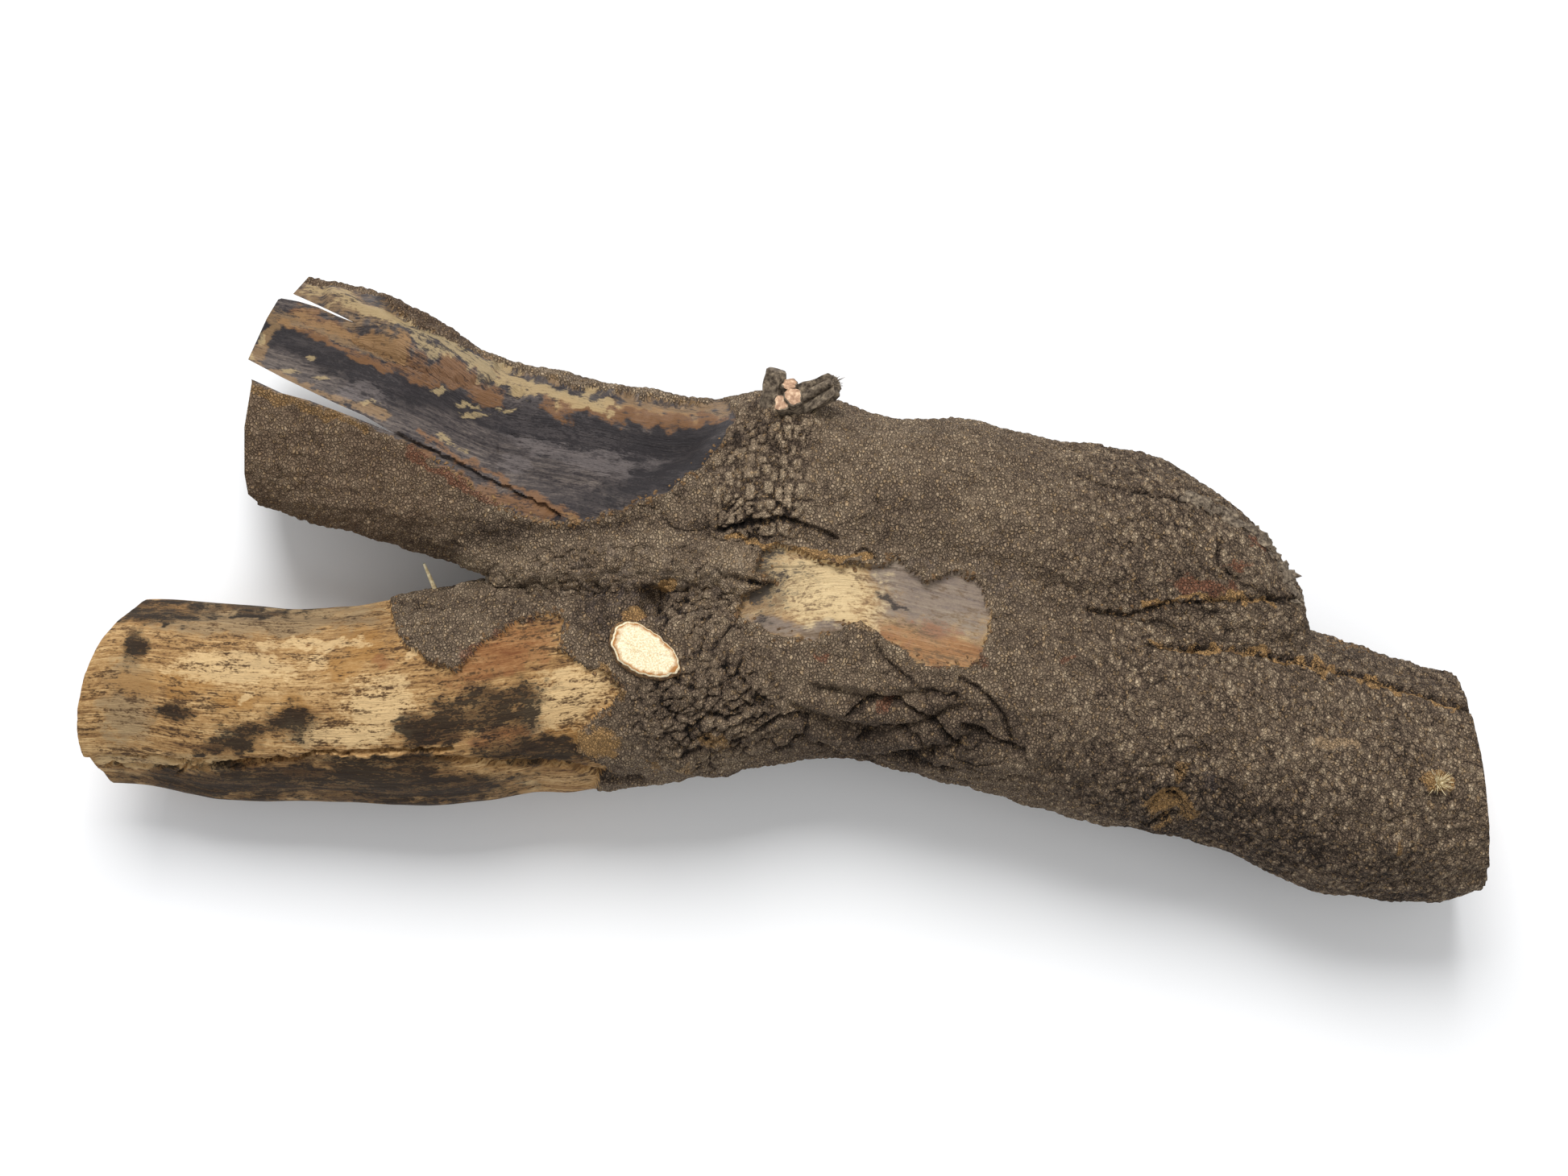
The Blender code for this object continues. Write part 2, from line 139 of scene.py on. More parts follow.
# Places where the bark is gone and the wood lies bare, as outlines in plan.
LIMB_BARE = [
    (-400, 12), (-210, 1), (-209, -15), (-203, -30), (-190, -39), (-175, -44), (-160, -28),
    (-143, -18), (-122, -12), (-117, -18), (-121, -30), (-108, -41), (-93, -46), (-88, -53),
    (-95, -66), (-108, -75), (-112, -88), (-92, -98), (-120, -130), (-400, -130),
]
BRANCH_BARE = [
    (-320, 190), (-221, 163), (-200, 142), (-178, 130), (-152, 119), (-117, 109), (-83, 103),
    (-53, 99), (-29, 100), (-25, 93), (-31, 82), (-44, 65), (-66, 50), (-87, 42), (-111, 35),
    (-122, 34), (-143, 39), (-160, 50), (-175, 61), (-195, 73), (-209, 81), (-238, 94),
    (-268, 104), (-284, 111), (-320, 124),
]
CENTRE_SCAR = [
    (-11, 20), (-2, 23), (19, 15), (31, 12), (52, 12), (59, 18), (75, 3), (92, 9), (102, 5),
    (112, -15), (104, -37), (95, -43), (71, -40), (53, -24), (40, -16), (25, -24), (13, -28),
    (-8, -24), (-25, -13), (-20, -4), (-5, 4), (-14, 9),
]

# The two splits that open the branch from its sawn end.
LOWER_SPLIT = [
    (-330, 143), (-286, 122), (-267, 112), (-240, 99), (-224, 92), (-214, 86), (-207, 82),
    (-224, 89), (-253, 100), (-268, 104), (-283, 111), (-330, 127),
]
UPPER_SPLIT = [
    (-330, 176), (-281, 157), (-259, 153), (-249, 150), (-238, 145), (-230, 142),
    (-238, 146), (-253, 153), (-262, 157), (-300, 190), (-330, 206),
]
TORN_RIDGE = [(-240, 160), (-219, 148), (-205, 137), (-186, 131), (-158, 120)]

# The ragged end of the upper stem, where its bark flakes off.
STUB_EDGE = [(214, 49), (228, 44), (240, 36), (252, 30), (262, 21), (268, 8), (275, -8)]

# Cracks and ledges as lines in plan, each with its half width and depth.
CRACKS = {
    "lower_split_end": ([(-207, 82), (-178, 67), (-160, 57), (-143, 48), (-122, 37)], 2.0, 4.5),
    "upper_split_end": ([(-230, 142), (-209, 130), (-196, 125), (-178, 118), (-140, 109)], 2.0, 3.0),
    "end_crack": ([(194, -30), (222, -32), (252, -35), (283, -42), (313, -49), (372, -66)], 2.2, 2.6),
    "end_gap": ([(208, -31), (217, -33), (226, -31)], 1.6, 3.0),
    "stub_crack": ([(162, -12), (184, -15), (205, -8), (227, -7), (252, -6), (280, -6)], 2.0, 2.6),
    "stub_side_crack": ([(231, 26), (233, 12), (243, 2), (256, -3), (268, -9)], 1.6, 2.2),
    "stub_top_crack": ([(157, 62), (170, 55), (181, 53), (196, 49), (215, 46)], 1.6, 2.0),
    "crotch_seam": ([(-165, 8), (-130, 14), (-95, 16), (-60, 18), (-30, 12)], 20.0, -4.5),
    "limb_ledge": ([(-364, -93), (-340, -93), (-328, -97), (-308, -99), (-292, -97), (-261, -94),
                    (-251, -89), (-239, -90), (-212, -89), (-178, -88)], 1.8, 5.0),
    "limb_low_ledge": ([(-363, -100), (-341, -101), (-300, -101), (-282, -98)], 1.4, 2.5),
    "limb_check": ([(-320, -99), (-323, -103), (-327, -105)], 1.0, 2.0),
    "limb_far_ledge": ([(-186, -93), (-154, -99), (-114, -98), (-96, -102), (-77, -102)], 2.4, 3.5),
    "limb_top_edge": ([(-225, -8), (-205, -9), (-196, -8), (-180, -12)], 1.4, 2.0),
    "pebble_gash": ([(-34, 31), (-20, 35), (-12, 36), (-1, 38), (7, 35), (16, 33), (27, 27)], 2.0, 3.0),
    "scar_gash": ([(-35, 8), (-22, 4), (-8, 2)], 2.2, 3.0),
    "scar_gap": ([(39, 18), (44, 21), (50, 15)], 1.4, 2.4),
    "slab_check": ([(-156, 76), (-156, 83), (-148, 89), (-133, 87), (-113, 82)], 0.9, 1.0),
    "fold_gash": ([(20, -84), (38, -90), (62, -88), (90, -96)], 2.2, 3.0),
    "fold_gash_low": ([(96, -72), (112, -80), (128, -88)], 2.0, 3.0),
    "fold_arc": ([(34, -66), (50, -58), (66, -62), (82, -72), (92, -84)], 2.0, 3.2),
    "fold_inner_arc": ([(40, -80), (54, -72), (68, -76), (80, -88)], 1.8, 2.6),
    "fold_loop": ([(-16, -76), (-2, -68), (12, -69), (10, -79), (-4, -86)], 2.0, 3.0),
    "fold_step": ([(94, -48), (108, -56), (117, -68), (122, -82)], 1.8, 2.8),
    "fold_shelf": ([(48, -30), (60, -44), (74, -54), (92, -58)], 1.6, 2.2),
}
CRACK_WANDER = 1.6

# Knots and hollows: plan place, radius, height above the bark.
SAWN_KNOT = (-75, -34)
SAWN_KNOT_RADII = (18.5, 12.2)
SAWN_KNOT_TURN = -28
KNOT_ROOT = 10
KNOT_SIDES = 96
KNOT_RINGS = (0.94, 0.93, 0.9, 0.88, 0.85, 0.8, 0.75, 0.65, 0.5, 0.3)
KNOT_HOLLOW = (205, -115, 13, -3)
BARK_HOLLOW = (-70, -7, 11, -11)
END_KNOB = (326, -138, 7, 3.5)
FIBRE_BOSS = (349, -103, 9, 4)
EDGE_KNOT = (-55, -92, 8, 3)
KNOT_COLLAR = (-78, -37, 25, 2.5)
TWIG_MOUND = (3, 92, 22, 5)
LUMPS = (TWIG_MOUND, KNOT_COLLAR, KNOT_HOLLOW, BARK_HOLLOW, END_KNOB, FIBRE_BOSS, EDGE_KNOT)

# Twigs and pegs: root and tip in plan, how far the tip stands above the root, two radii.
TWIGS = {
    "standing_twig": ((-8, 100), (-4, 116), 6, 6.0, 5.4),
    "lumpy_stub": ((7, 101), (27, 109), 12, 7.5, 5.2),
    "sawn_twig_far": ((3, 101), (3, 109), 9, 4.5, 3.9),
    "sawn_twig_near": ((5, 97), (5, 102), 12, 5.0, 4.7),
    "sawn_twig_left": ((0, 95), (-1, 99), 9, 4.2, 3.9),
    "crotch_thorn": ((-186, 0), (-192, 12.6), 5, 1.6, 0.8),
    "crotch_peg": ((-158, 3), (-158.4, 14), 3, 2.4, 2.0),
}
TWIG_SINK = 4
TWIG_SIDES = 28
TWIG_STEPS = 7

# Saw cuts across the lower stem: a point on the cut and the direction that is taken away.
LEFT_CUT = ((-350, -57, 50), (-0.942, 0.181, -0.283))
RIGHT_CUT = ((360, -106, 62), (0.986, 0.1, 0.135))
CUT_SIZE = 260
CUT_LOW = 20
CUT_HIGH = 150
BRANCH_CUT = [
    (-252, 168), (-262, 157), (-270, 154), (-276, 144), (-286, 122), (-284, 110), (-288, 86),
    (-288, 61), (-286, 50), (-281, 46), (-281, 30), (-370, 30), (-370, 210), (-235, 210),
]

# The gap between growth rings on the sawn ends.
RING_GAP = 3.1

# How the wood is shared between its pieces: lowest and highest place along and across.
PIECES = {
    "bare_limb": ((-400, -150), (-200, 10)),
    "split_branch": ((-400, -150), (10, 250)),
    "crotch": ((-150, -20), (-200, 250)),
    "scarred_middle": ((-20, 105), (-200, 250)),
    "broken_stub": ((105, 230), (-200, 250)),
    "thick_end": ((230, 400), (-200, 250)),
}


def sight_frame():
    """The right, up and forward directions of the eye, and its distance."""
    forward = AIM - EYE
    distance = np.linalg.norm(forward)
    forward = forward / distance
    right = np.array((1.0, 0.0, 0.0))
    return right, np.cross(right, forward), forward, distance


RIGHT, UP, FORWARD, SIGHT = sight_frame()


def seen(points):
    """Where the eye sees each point, as plan places in millimetres."""
    offset = points - EYE
    depth = offset @ FORWARD
    return np.stack((offset @ RIGHT, offset @ UP), axis=1) * (SIGHT / depth)[:, None]


def sight_line(plan):
    """The direction from the eye to a plan place."""
    return AIM + plan[0] * RIGHT + plan[1] * UP - EYE


def at_height(plan, height):
    """The point at a height that the eye sees at a plan place."""
    ray = sight_line(plan)
    return EYE + ray * (height - EYE[2]) / ray[2]


def ramp(low, high, value):
    """Rises smoothly from 0 at low to 1 at high."""
    t = np.clip((value - low) / (high - low), 0.0, 1.0)
    return t * t * (3.0 - 2.0 * t)


def line_distance(places, line):
    """Distance from each plan place to a line of straight stretches."""
    nearest = np.full(len(places), np.inf)
    for start, end in zip(line[:-1], line[1:]):
        run = np.subtract(end, start)
        along = np.clip(((places - start) @ run) / (run @ run), 0.0, 1.0)
        gap = np.linalg.norm(places - start - along[:, None] * run, axis=1)
        nearest = np.minimum(nearest, gap)
    return nearest


def depth_inside(places, outline):
    """Distance inside a closed outline, negative outside it."""
    closed = outline + outline[:1]
    x, y = places[:, 0], places[:, 1]
    inside = np.zeros(len(places), bool)
    for (x0, y0), (x1, y1) in zip(closed[:-1], closed[1:]):
        if y0 != y1:
            crosses = (y0 > y) != (y1 > y)
            inside ^= crosses & (x < x0 + (y - y0) * (x1 - x0) / (y1 - y0))
    return np.where(inside, 1.0, -1.0) * line_distance(places, closed)


def wander(points, size, seed):
    """Smooth noise from -1 to 1 at each point, with lumps of a given size along each axis."""
    shift = np.array((17.3, 5.1, 9.7)) * seed
    return np.array([noise.noise(place) for place in (points / np.array(size) + shift).tolist()])


def grains(points, size, seed, metric="DISTANCE"):
    """For cells of a given size: how far each point is from the nearest middle, and how much
    farther from the next one."""
    shift = np.array((17.3, 5.1, 9.7)) * seed
    near = [noise.voronoi(place, distance_metric=metric)[0][:2]
            for place in (points / np.array(size) + shift).tolist()]
    near = np.array(near)
    return near[:, 0], near[:, 1] - near[:, 0]


def through(stations, step):
    """Rows read at even steps from a smooth curve through the stations."""
    rows = np.array(stations, float)
    along = rows[:, 0]
    slope = np.gradient(rows, along, axis=0)
    fine = np.linspace(along[0], along[-1], int((along[-1] - along[0]) / step) + 1)
    before = np.clip(np.searchsorted(along, fine, side="right") - 1, 0, len(along) - 2)
    width = (along[before + 1] - along[before])[:, None]
    t = (fine - along[before])[:, None] / width
    blend = t * t * (3 - 2 * t)
    leave = t * (1 - t) ** 2 * width * slope[before]
    arrive = t * t * (1 - t) * width * slope[before + 1]
    return rows[before] * (1 - blend) + rows[before + 1] * blend + leave - arrive


def mesh_from(name, bm):
    """Finish a bmesh as a mesh with its faces pointing out."""
    bmesh.ops.recalc_face_normals(bm, faces=bm.faces)
    mesh = bpy.data.meshes.new(name)
    bm.to_mesh(mesh)
    bm.free()
    return mesh


def add_object(name, mesh):
    """Link a mesh to the scene as a new object."""
    obj = bpy.data.objects.new(name, mesh)
    bpy.context.scene.collection.objects.link(obj)
    return obj


def loft(bm, stations):
    """A closed oval tube lofted through upright rings along its stations."""
    ring_edges = []
    upright = Matrix(((0, 0, 1, 0), (1, 0, 0, 0), (0, 1, 0, 0), (0, 0, 0, 1)))
    for along, across, height, half_width, half_height in through(stations, RING_STEP):
        middle = at_height((along, across), height)
        half_width *= (middle - EYE) @ FORWARD / SIGHT
        oval = Matrix.Diagonal((half_width * MM, half_height * MM, 1, 1))
        ring = bmesh.ops.create_circle(
            bm, segments=RING_SIDES, radius=1,
            matrix=Matrix.Translation(Vector(middle * MM)) @ upright @ oval)
        ring_edges.append({edge for vert in ring["verts"] for edge in vert.link_edges})
    ends = list(ring_edges[0] | ring_edges[-1])
    for near, far in zip(ring_edges[:-1], ring_edges[1:]):
        bmesh.ops.bridge_loops(bm, edges=list(near | far))
    bmesh.ops.holes_fill(bm, edges=ends)


def apply_modifiers(obj):
    """Replace an object's mesh by what its modifiers make of it."""
    graph = bpy.context.evaluated_depsgraph_get()
    obj.data = bpy.data.meshes.new_from_object(obj.evaluated_get(graph))
    obj.modifiers.clear()


def read(mesh, what, width=3):
    """A property of every vertex, as one row each."""
    values = np.empty(len(mesh.vertices) * width, np.float32)
    if what in ("co", "normal"):
        mesh.vertices.foreach_get(what, values)
    else:
        kind = "vector" if width == 3 else "value"
        mesh.attributes[what].data.foreach_get(kind, values)
    values = values.astype(float)
    return values.reshape(-1, width) if width > 1 else values


def write(mesh, name, values):
    """Keep a number or a direction for every vertex as a named attribute."""
    wide = values.ndim == 2
    layer = mesh.attributes.new(name, "FLOAT_VECTOR" if wide else "FLOAT", "POINT")
    layer.data.foreach_set("vector" if wide else "value", values.astype(np.float32).ravel())


def grown_wood():
    """The two stems as one smooth body, with a soft crease where they meet."""
    bm = bmesh.new()
    for stations in (LOWER_STEM, UPPER_STEM, CROTCH_WEB):
        loft(bm, stations)
    wood = add_object("grown_wood", mesh_from("grown_wood", bm))
    remesh = wood.modifiers.new("even skin", "REMESH")
    remesh.mode = "VOXEL"
    remesh.voxel_size = VOXEL * MM
    apply_modifiers(wood)
    bm = bmesh.new()
    bm.from_mesh(wood.data)
    for _ in range(CREASE_PASSES):
        bmesh.ops.smooth_vert(bm, verts=bm.verts, factor=0.5, use_axis_x=True,
                              use_axis_y=True, use_axis_z=True)
    bm.to_mesh(wood.data)
    bm.free()
    finer = wood.modifiers.new("finer skin", "SUBSURF")
    finer.levels = finer.render_levels = 1
    apply_modifiers(wood)
    return wood


def stem_lines():
    """Each stem's middle line: points, and half widths and heights, at even steps."""
    lines = []
    for stations in (LOWER_STEM, UPPER_STEM):
        rows = through(stations, RING_STEP)
        middles = np.array([at_height(row[:2], row[2]) for row in rows])
        lines.append((middles, rows[:, 3], rows[:, 4]))
    return lines


def along_grain(points):
    """Each point's place along its own stem, round it from the top, and out from its middle."""
    best = np.full(len(points), np.inf)
    grain = points.copy()
    for middles, half_width, half_height in stem_lines():
        x = middles[:, 0]
        reach = (points[:, 0] > x[0] - 20) & (points[:, 0] < x[-1] + 20)
        off = points[:, 1] - np.interp(points[:, 0], x, middles[:, 1])
        rise = points[:, 2] - np.interp(points[:, 0], x, middles[:, 2])
        off_share = off / np.interp(points[:, 0], x, half_width)
        rise_share = rise / np.interp(points[:, 0], x, half_height)
        away = np.hypot(off_share, rise_share)
        nearer = reach & (away < best)
        best = np.where(nearer, away, best)
        round_it = STEM_RADIUS * np.arctan2(off_share, rise_share)
        own = np.stack((points[:, 0], round_it, STEM_RADIUS * away), axis=1)
        grain[nearer] = own[nearer]
    return grain


def patches(places, ragged, shapes, soft=0.5):
    """From 0 to 1, how far each place is within any of some oval patches with ragged edges."""
    found = np.zeros(len(places))
    for along, across, half_long, half_short, *turn in shapes:
        angle = math.radians(turn[0]) if turn else 0.0
        away = places - (along, across)
        x = (away[:, 0] * math.cos(angle) + away[:, 1] * math.sin(angle)) / half_long
        y = (away[:, 1] * math.cos(angle) - away[:, 0] * math.sin(angle)) / half_short
        found = np.maximum(found, ramp(1 + soft, 1 - soft, np.hypot(x, y) + ragged))
    return found


def streaks(places, ragged, lines, soft=0.5):
    """From 0 to 1, how near each place is to any of some lines, each with its half width."""
    found = np.zeros(len(places))
    for line, half in lines:
        reach = line_distance(places, line) / half + ragged
        found = np.maximum(found, ramp(1 + soft, 1 - soft, reach))
    return found


class Skin:
    """What is known of every point of the smooth stems before bark and wear are pressed in."""

    def __init__(self, points, facing):
        self.points = points
        self.facing = facing
        self.grain = along_grain(points)
        self.places = seen(points)
        here = points - HOME
        self.coarse = wander(here, (11, 11, 11), 11)
        self.fine = wander(here, (3.6, 3.6, 3.6), 12)
        warp = np.stack((wander(here, (8, 8, 8), 13), wander(here, (8, 8, 8), 14)), axis=1)
        crumbs = np.stack((wander(here, (3, 3, 3), 15), wander(here, (3, 3, 3), 16)), axis=1)
        self.torn = self.places + 2.2 * warp + 1.0 * crumbs
        self.limb_depth = depth_inside(self.torn, LIMB_BARE)
        self.branch_depth = depth_inside(self.torn, BRANCH_BARE)
        self.scar_depth = depth_inside(self.torn, CENTRE_SCAR)
        self.limb = ramp(-0.6, 0.6, self.limb_depth)
        self.branch = ramp(-0.6, 0.6, self.branch_depth) * facing
        self.scar = ramp(-0.6, 0.6, self.scar_depth) * facing


# Where each kind of bark grows, as oval patches: middle along and across, half length and
# half width, and turn in degrees.
PEBBLY = [(-12, 56, 28, 46, -8), (2, 84, 16, 16, 0)]
ROPY = [(-40, -62, 38, 34, 0), (-44, -4, 30, 26, 0), (-110, 8, 46, 16, 8), (-14, 40, 26, 12, 10)]


def bark_relief(skin):
    """The bark's broad form, and its plates, grit, fissures and lumps, both in millimetres."""
    here = skin.points - HOME
    ropes = 1.0 - 2.0 * np.abs(wander(here, ROPES[0], 1))
    plates = wander(here, PLATES[0], 2)
    swells = wander(here, SWELLS[0], 3)
    roped = patches(skin.places, 0.25 * skin.coarse, ROPY) * skin.facing
    knobs = 1.0 - 2.2 * np.abs(wander(here, (9, 8, 8), 4))
    _, chink = grains(here + 2.0 * skin.fine[:, None], (8.0, 6.0, 6.0), 5)
    lumpy = (1.3 * knobs + 2.0 * ramp(0.0, 0.22, chink) - 1.4) * roped
    form = ROPES[1] * ropes + PLATES[1] * plates + SWELLS[1] * swells

    near, gap = grains(here + 1.5 * skin.fine[:, None], (4.8, 4.8, 4.8), 21)
    plated = 0.45 * (ramp(0.0, 0.3, gap) - 0.7) + 0.35 * ramp(0.7, 0.2, near)
    grit = 0.5 * wander(here, (2.7, 2.7, 2.7), 22) + 0.5 * skin.coarse
    fissures = -1.3 * ramp(0.07, 0.0, np.abs(wander(skin.grain, (22, 14, 14), 23)))
    fissures *= ramp(0.1, 0.45, wander(skin.grain, (50, 36, 36), 24))
    return form, plated + grit + fissures + lumpy


def pebbles(skin):
    """Raised rectangular warts near the root of the twigs, and how far they cover the bark."""
    cover = patches(skin.places, 0.25 * skin.coarse, PEBBLY) * skin.facing
    near, gap = grains(skin.grain + 1.3 * skin.fine[:, None], (5.0, 7.2, 7.2), 31, "CHEBYCHEV")
    wart = ramp(0.03, 0.2, gap) * ramp(0.8, 0.5, near) * (0.75 + 0.5 * skin.coarse)
    return (2.4 * wart - 1.0) * cover, cover


def folds(skin):
    """Bark pushed into draped folds below the scar."""
    radius = np.linalg.norm(skin.places - FOLD_HUB, axis=1) + 2.5 * skin.coarse
    edge = np.linalg.norm((skin.places - FOLD_MIDDLE) / FOLD_REACH, axis=1)
    wave = 2.0 * np.abs(np.sin(radius * math.pi / FOLD_PITCH)) - 1.2
    return FOLD_HEIGHT * wave * ramp(1.0, 0.6, edge)


def cracks(skin):
    """Everything that opened along the grain, each crack wandering a little."""
    bent = skin.places + CRACK_WANDER * np.stack((skin.coarse, skin.fine), axis=1)
    relief = np.zeros(len(bent))
    for line, half_width, depth in CRACKS.values():
        relief -= depth * ramp(half_width, 0.2 * half_width, line_distance(bent, line))
    return relief


def knots(skin):
    """Round knots and hollows, each a lump or dish with an uneven edge."""
    relief = np.zeros(len(skin.places))
    for along, across, radius, height in LUMPS:
        away = np.linalg.norm(skin.places - (along, across), axis=1) + 1.5 * skin.coarse
        relief += height * ramp(radius, radius * 0.3, away)
    along, across, radius, _ = KNOT_HOLLOW
    rim = np.abs(np.linalg.norm(skin.places - (along, across), axis=1) - radius)
    return relief + 2.5 * ramp(6, 0, rim)


def weather(wood):
    """Press the grown, torn and worn relief into the smooth stems."""
    mesh = wood.data
    points = read(mesh, "co") / MM
    normals = read(mesh, "normal")
    to_eye = EYE - points
    to_eye /= np.linalg.norm(to_eye, axis=1)[:, None]
    facing = ramp(0.02, 0.3, np.sum(normals * to_eye, axis=1))
    skin = Skin(points, facing)

    limb = skin.limb * facing
    bare = np.maximum(np.maximum(skin.limb, skin.branch), skin.scar)
    trough = TROUGH_DEPTH * ramp(0, TROUGH_SLOPE, depth_inside(skin.places, BRANCH_BARE)) * facing
    trough *= 0.45 + 0.55 * ramp(-30, -60, skin.places[:, 0])
    below_ledge = ramp(LEDGE_SIDE, LEDGE_SIDE - 3, skin.torn[:, 1])
    below_ledge *= ramp(LEDGE_END, LEDGE_END - 25, skin.places[:, 0])

    form, rough = bark_relief(skin)
    warts, pebbly = pebbles(skin)
    lip = 0.9 * ramp(-6, -1, np.maximum(skin.scar_depth, skin.branch_depth)) * (1 - bare) * facing
    rough = rough * (1 - 0.8 * pebbly) + warts + lip
    fibres = 0.25 * wander(skin.grain, (46, 2.6, 2.6), 41) + 0.25 * wander(skin.grain, (24, 9, 9), 42)

    shift = form * (1.0 - (1.0 - BARE_ROUGHNESS) * bare) + rough * (1 - bare) + fibres * bare
    shift -= BARK_STEP * np.maximum(limb, skin.scar) + BRANCH_STEP * skin.branch + trough
    shift -= LEDGE_DROP * below_ledge
    shift += 3.0 * ramp(7, 2, line_distance(skin.places, TORN_RIDGE)) * skin.branch
    opened = cracks(skin)
    shift += (folds(skin) + opened + knots(skin)) * facing
    rough += opened * facing

    mesh.vertices.foreach_set("co", ((points + normals * shift[:, None]) * MM).ravel())
    mesh.update()
    write(mesh, "home", points)
    write(mesh, "facing", facing)
    write(mesh, "relief", rough)
    write(mesh, "kept", np.ones(len(points)))


def prism(name, outline, low=CUT_LOW, high=CUT_HIGH):
    """A cutter whose sides run along the eye's sight lines through a plan outline."""
    bm = bmesh.new()
    base = [bm.verts.new(Vector(at_height(place, low) * MM)) for place in outline]
    face = bm.faces.new(base)
    top = bmesh.ops.extrude_face_region(bm, geom=[face])["geom"]
    for vert in (item for item in top if isinstance(item, bmesh.types.BMVert)):
        place = seen(np.array([vert.co]) / MM)[0]
        vert.co = Vector(at_height(place, high) * MM)
    return add_object(name, mesh_from(name, bm))


def block(name, cut):
    """A box that takes away all that lies beyond a saw cut."""
    point, direction = cut
    away = Vector(direction).normalized()
    turn = away.to_track_quat("Z", "Y").to_matrix().to_4x4()
    place = Matrix.Translation(Vector(HOME + point) * MM) @ turn
    place = place @ Matrix.Translation((0, 0, CUT_SIZE * MM / 2))
    bm = bmesh.new()
    bmesh.ops.create_cube(bm, size=CUT_SIZE * MM, matrix=place)
    return add_object(name, mesh_from(name, bm))


def box(name, low, high):
    """An upright box between two corners."""
    low, high = np.array(low, float), np.array(high, float)
    bm = bmesh.new()
    bmesh.ops.create_cube(bm, size=1, matrix=Matrix.Translation(Vector((low + high) / 2 * MM))
                          @ Matrix.Diagonal((*((high - low) * MM), 1)))
    return add_object(name, mesh_from(name, bm))


def cut(obj, tool, operation="DIFFERENCE"):
    """Cut a tool's shape away from an object, or keep only what lies inside it."""
    step = obj.modifiers.new(tool.name, "BOOLEAN")
    step.operation = operation
    step.solver = "MANIFOLD"
    step.object = tool


def saw_and_split(wood):
    """The saw cuts, the splits and the flat spots that the wood rests on."""
    tools = [
        prism("lower_split", LOWER_SPLIT),
        prism("upper_split", UPPER_SPLIT),
        prism("branch_cut", BRANCH_CUT),
        block("left_cut", LEFT_CUT),
        block("right_cut", RIGHT_CUT),
        box("resting_plane", (-500, -500, -100), (500, 500, 0)),
    ]
    for tool in tools:
        cut(wood, tool)
    apply_modifiers(wood)
    for tool in tools:
        bpy.data.objects.remove(tool)


def share_out(wood):
    """The wood as separate closed pieces, split where the work is easiest to see."""
    shared = {}
    for name, ((low_x, high_x), (low_y, high_y)) in PIECES.items():
        piece = add_object(name, wood.data.copy())
        tool = box("share", (low_x, low_y, -10), (high_x, high_y, 200))
        cut(piece, tool, "INTERSECT")
        apply_modifiers(piece)
        bpy.data.objects.remove(tool)
        shared[name] = piece
    return shared


def mend(mesh, whole, tree):
    """Give the points that the cuts made the values of the nearest grown point."""
    kept = read(mesh, "kept", 1)
    points = read(mesh, "co")
    values = {name: read(mesh, name, width) for name, width in (("home", 3), ("facing", 1), ("relief", 1))}
    for index in np.flatnonzero(kept < 0.999):
        nearest = tree.find(points[index])[1]
        for name, rows in values.items():
            rows[index] = whole[name][nearest]
    return values


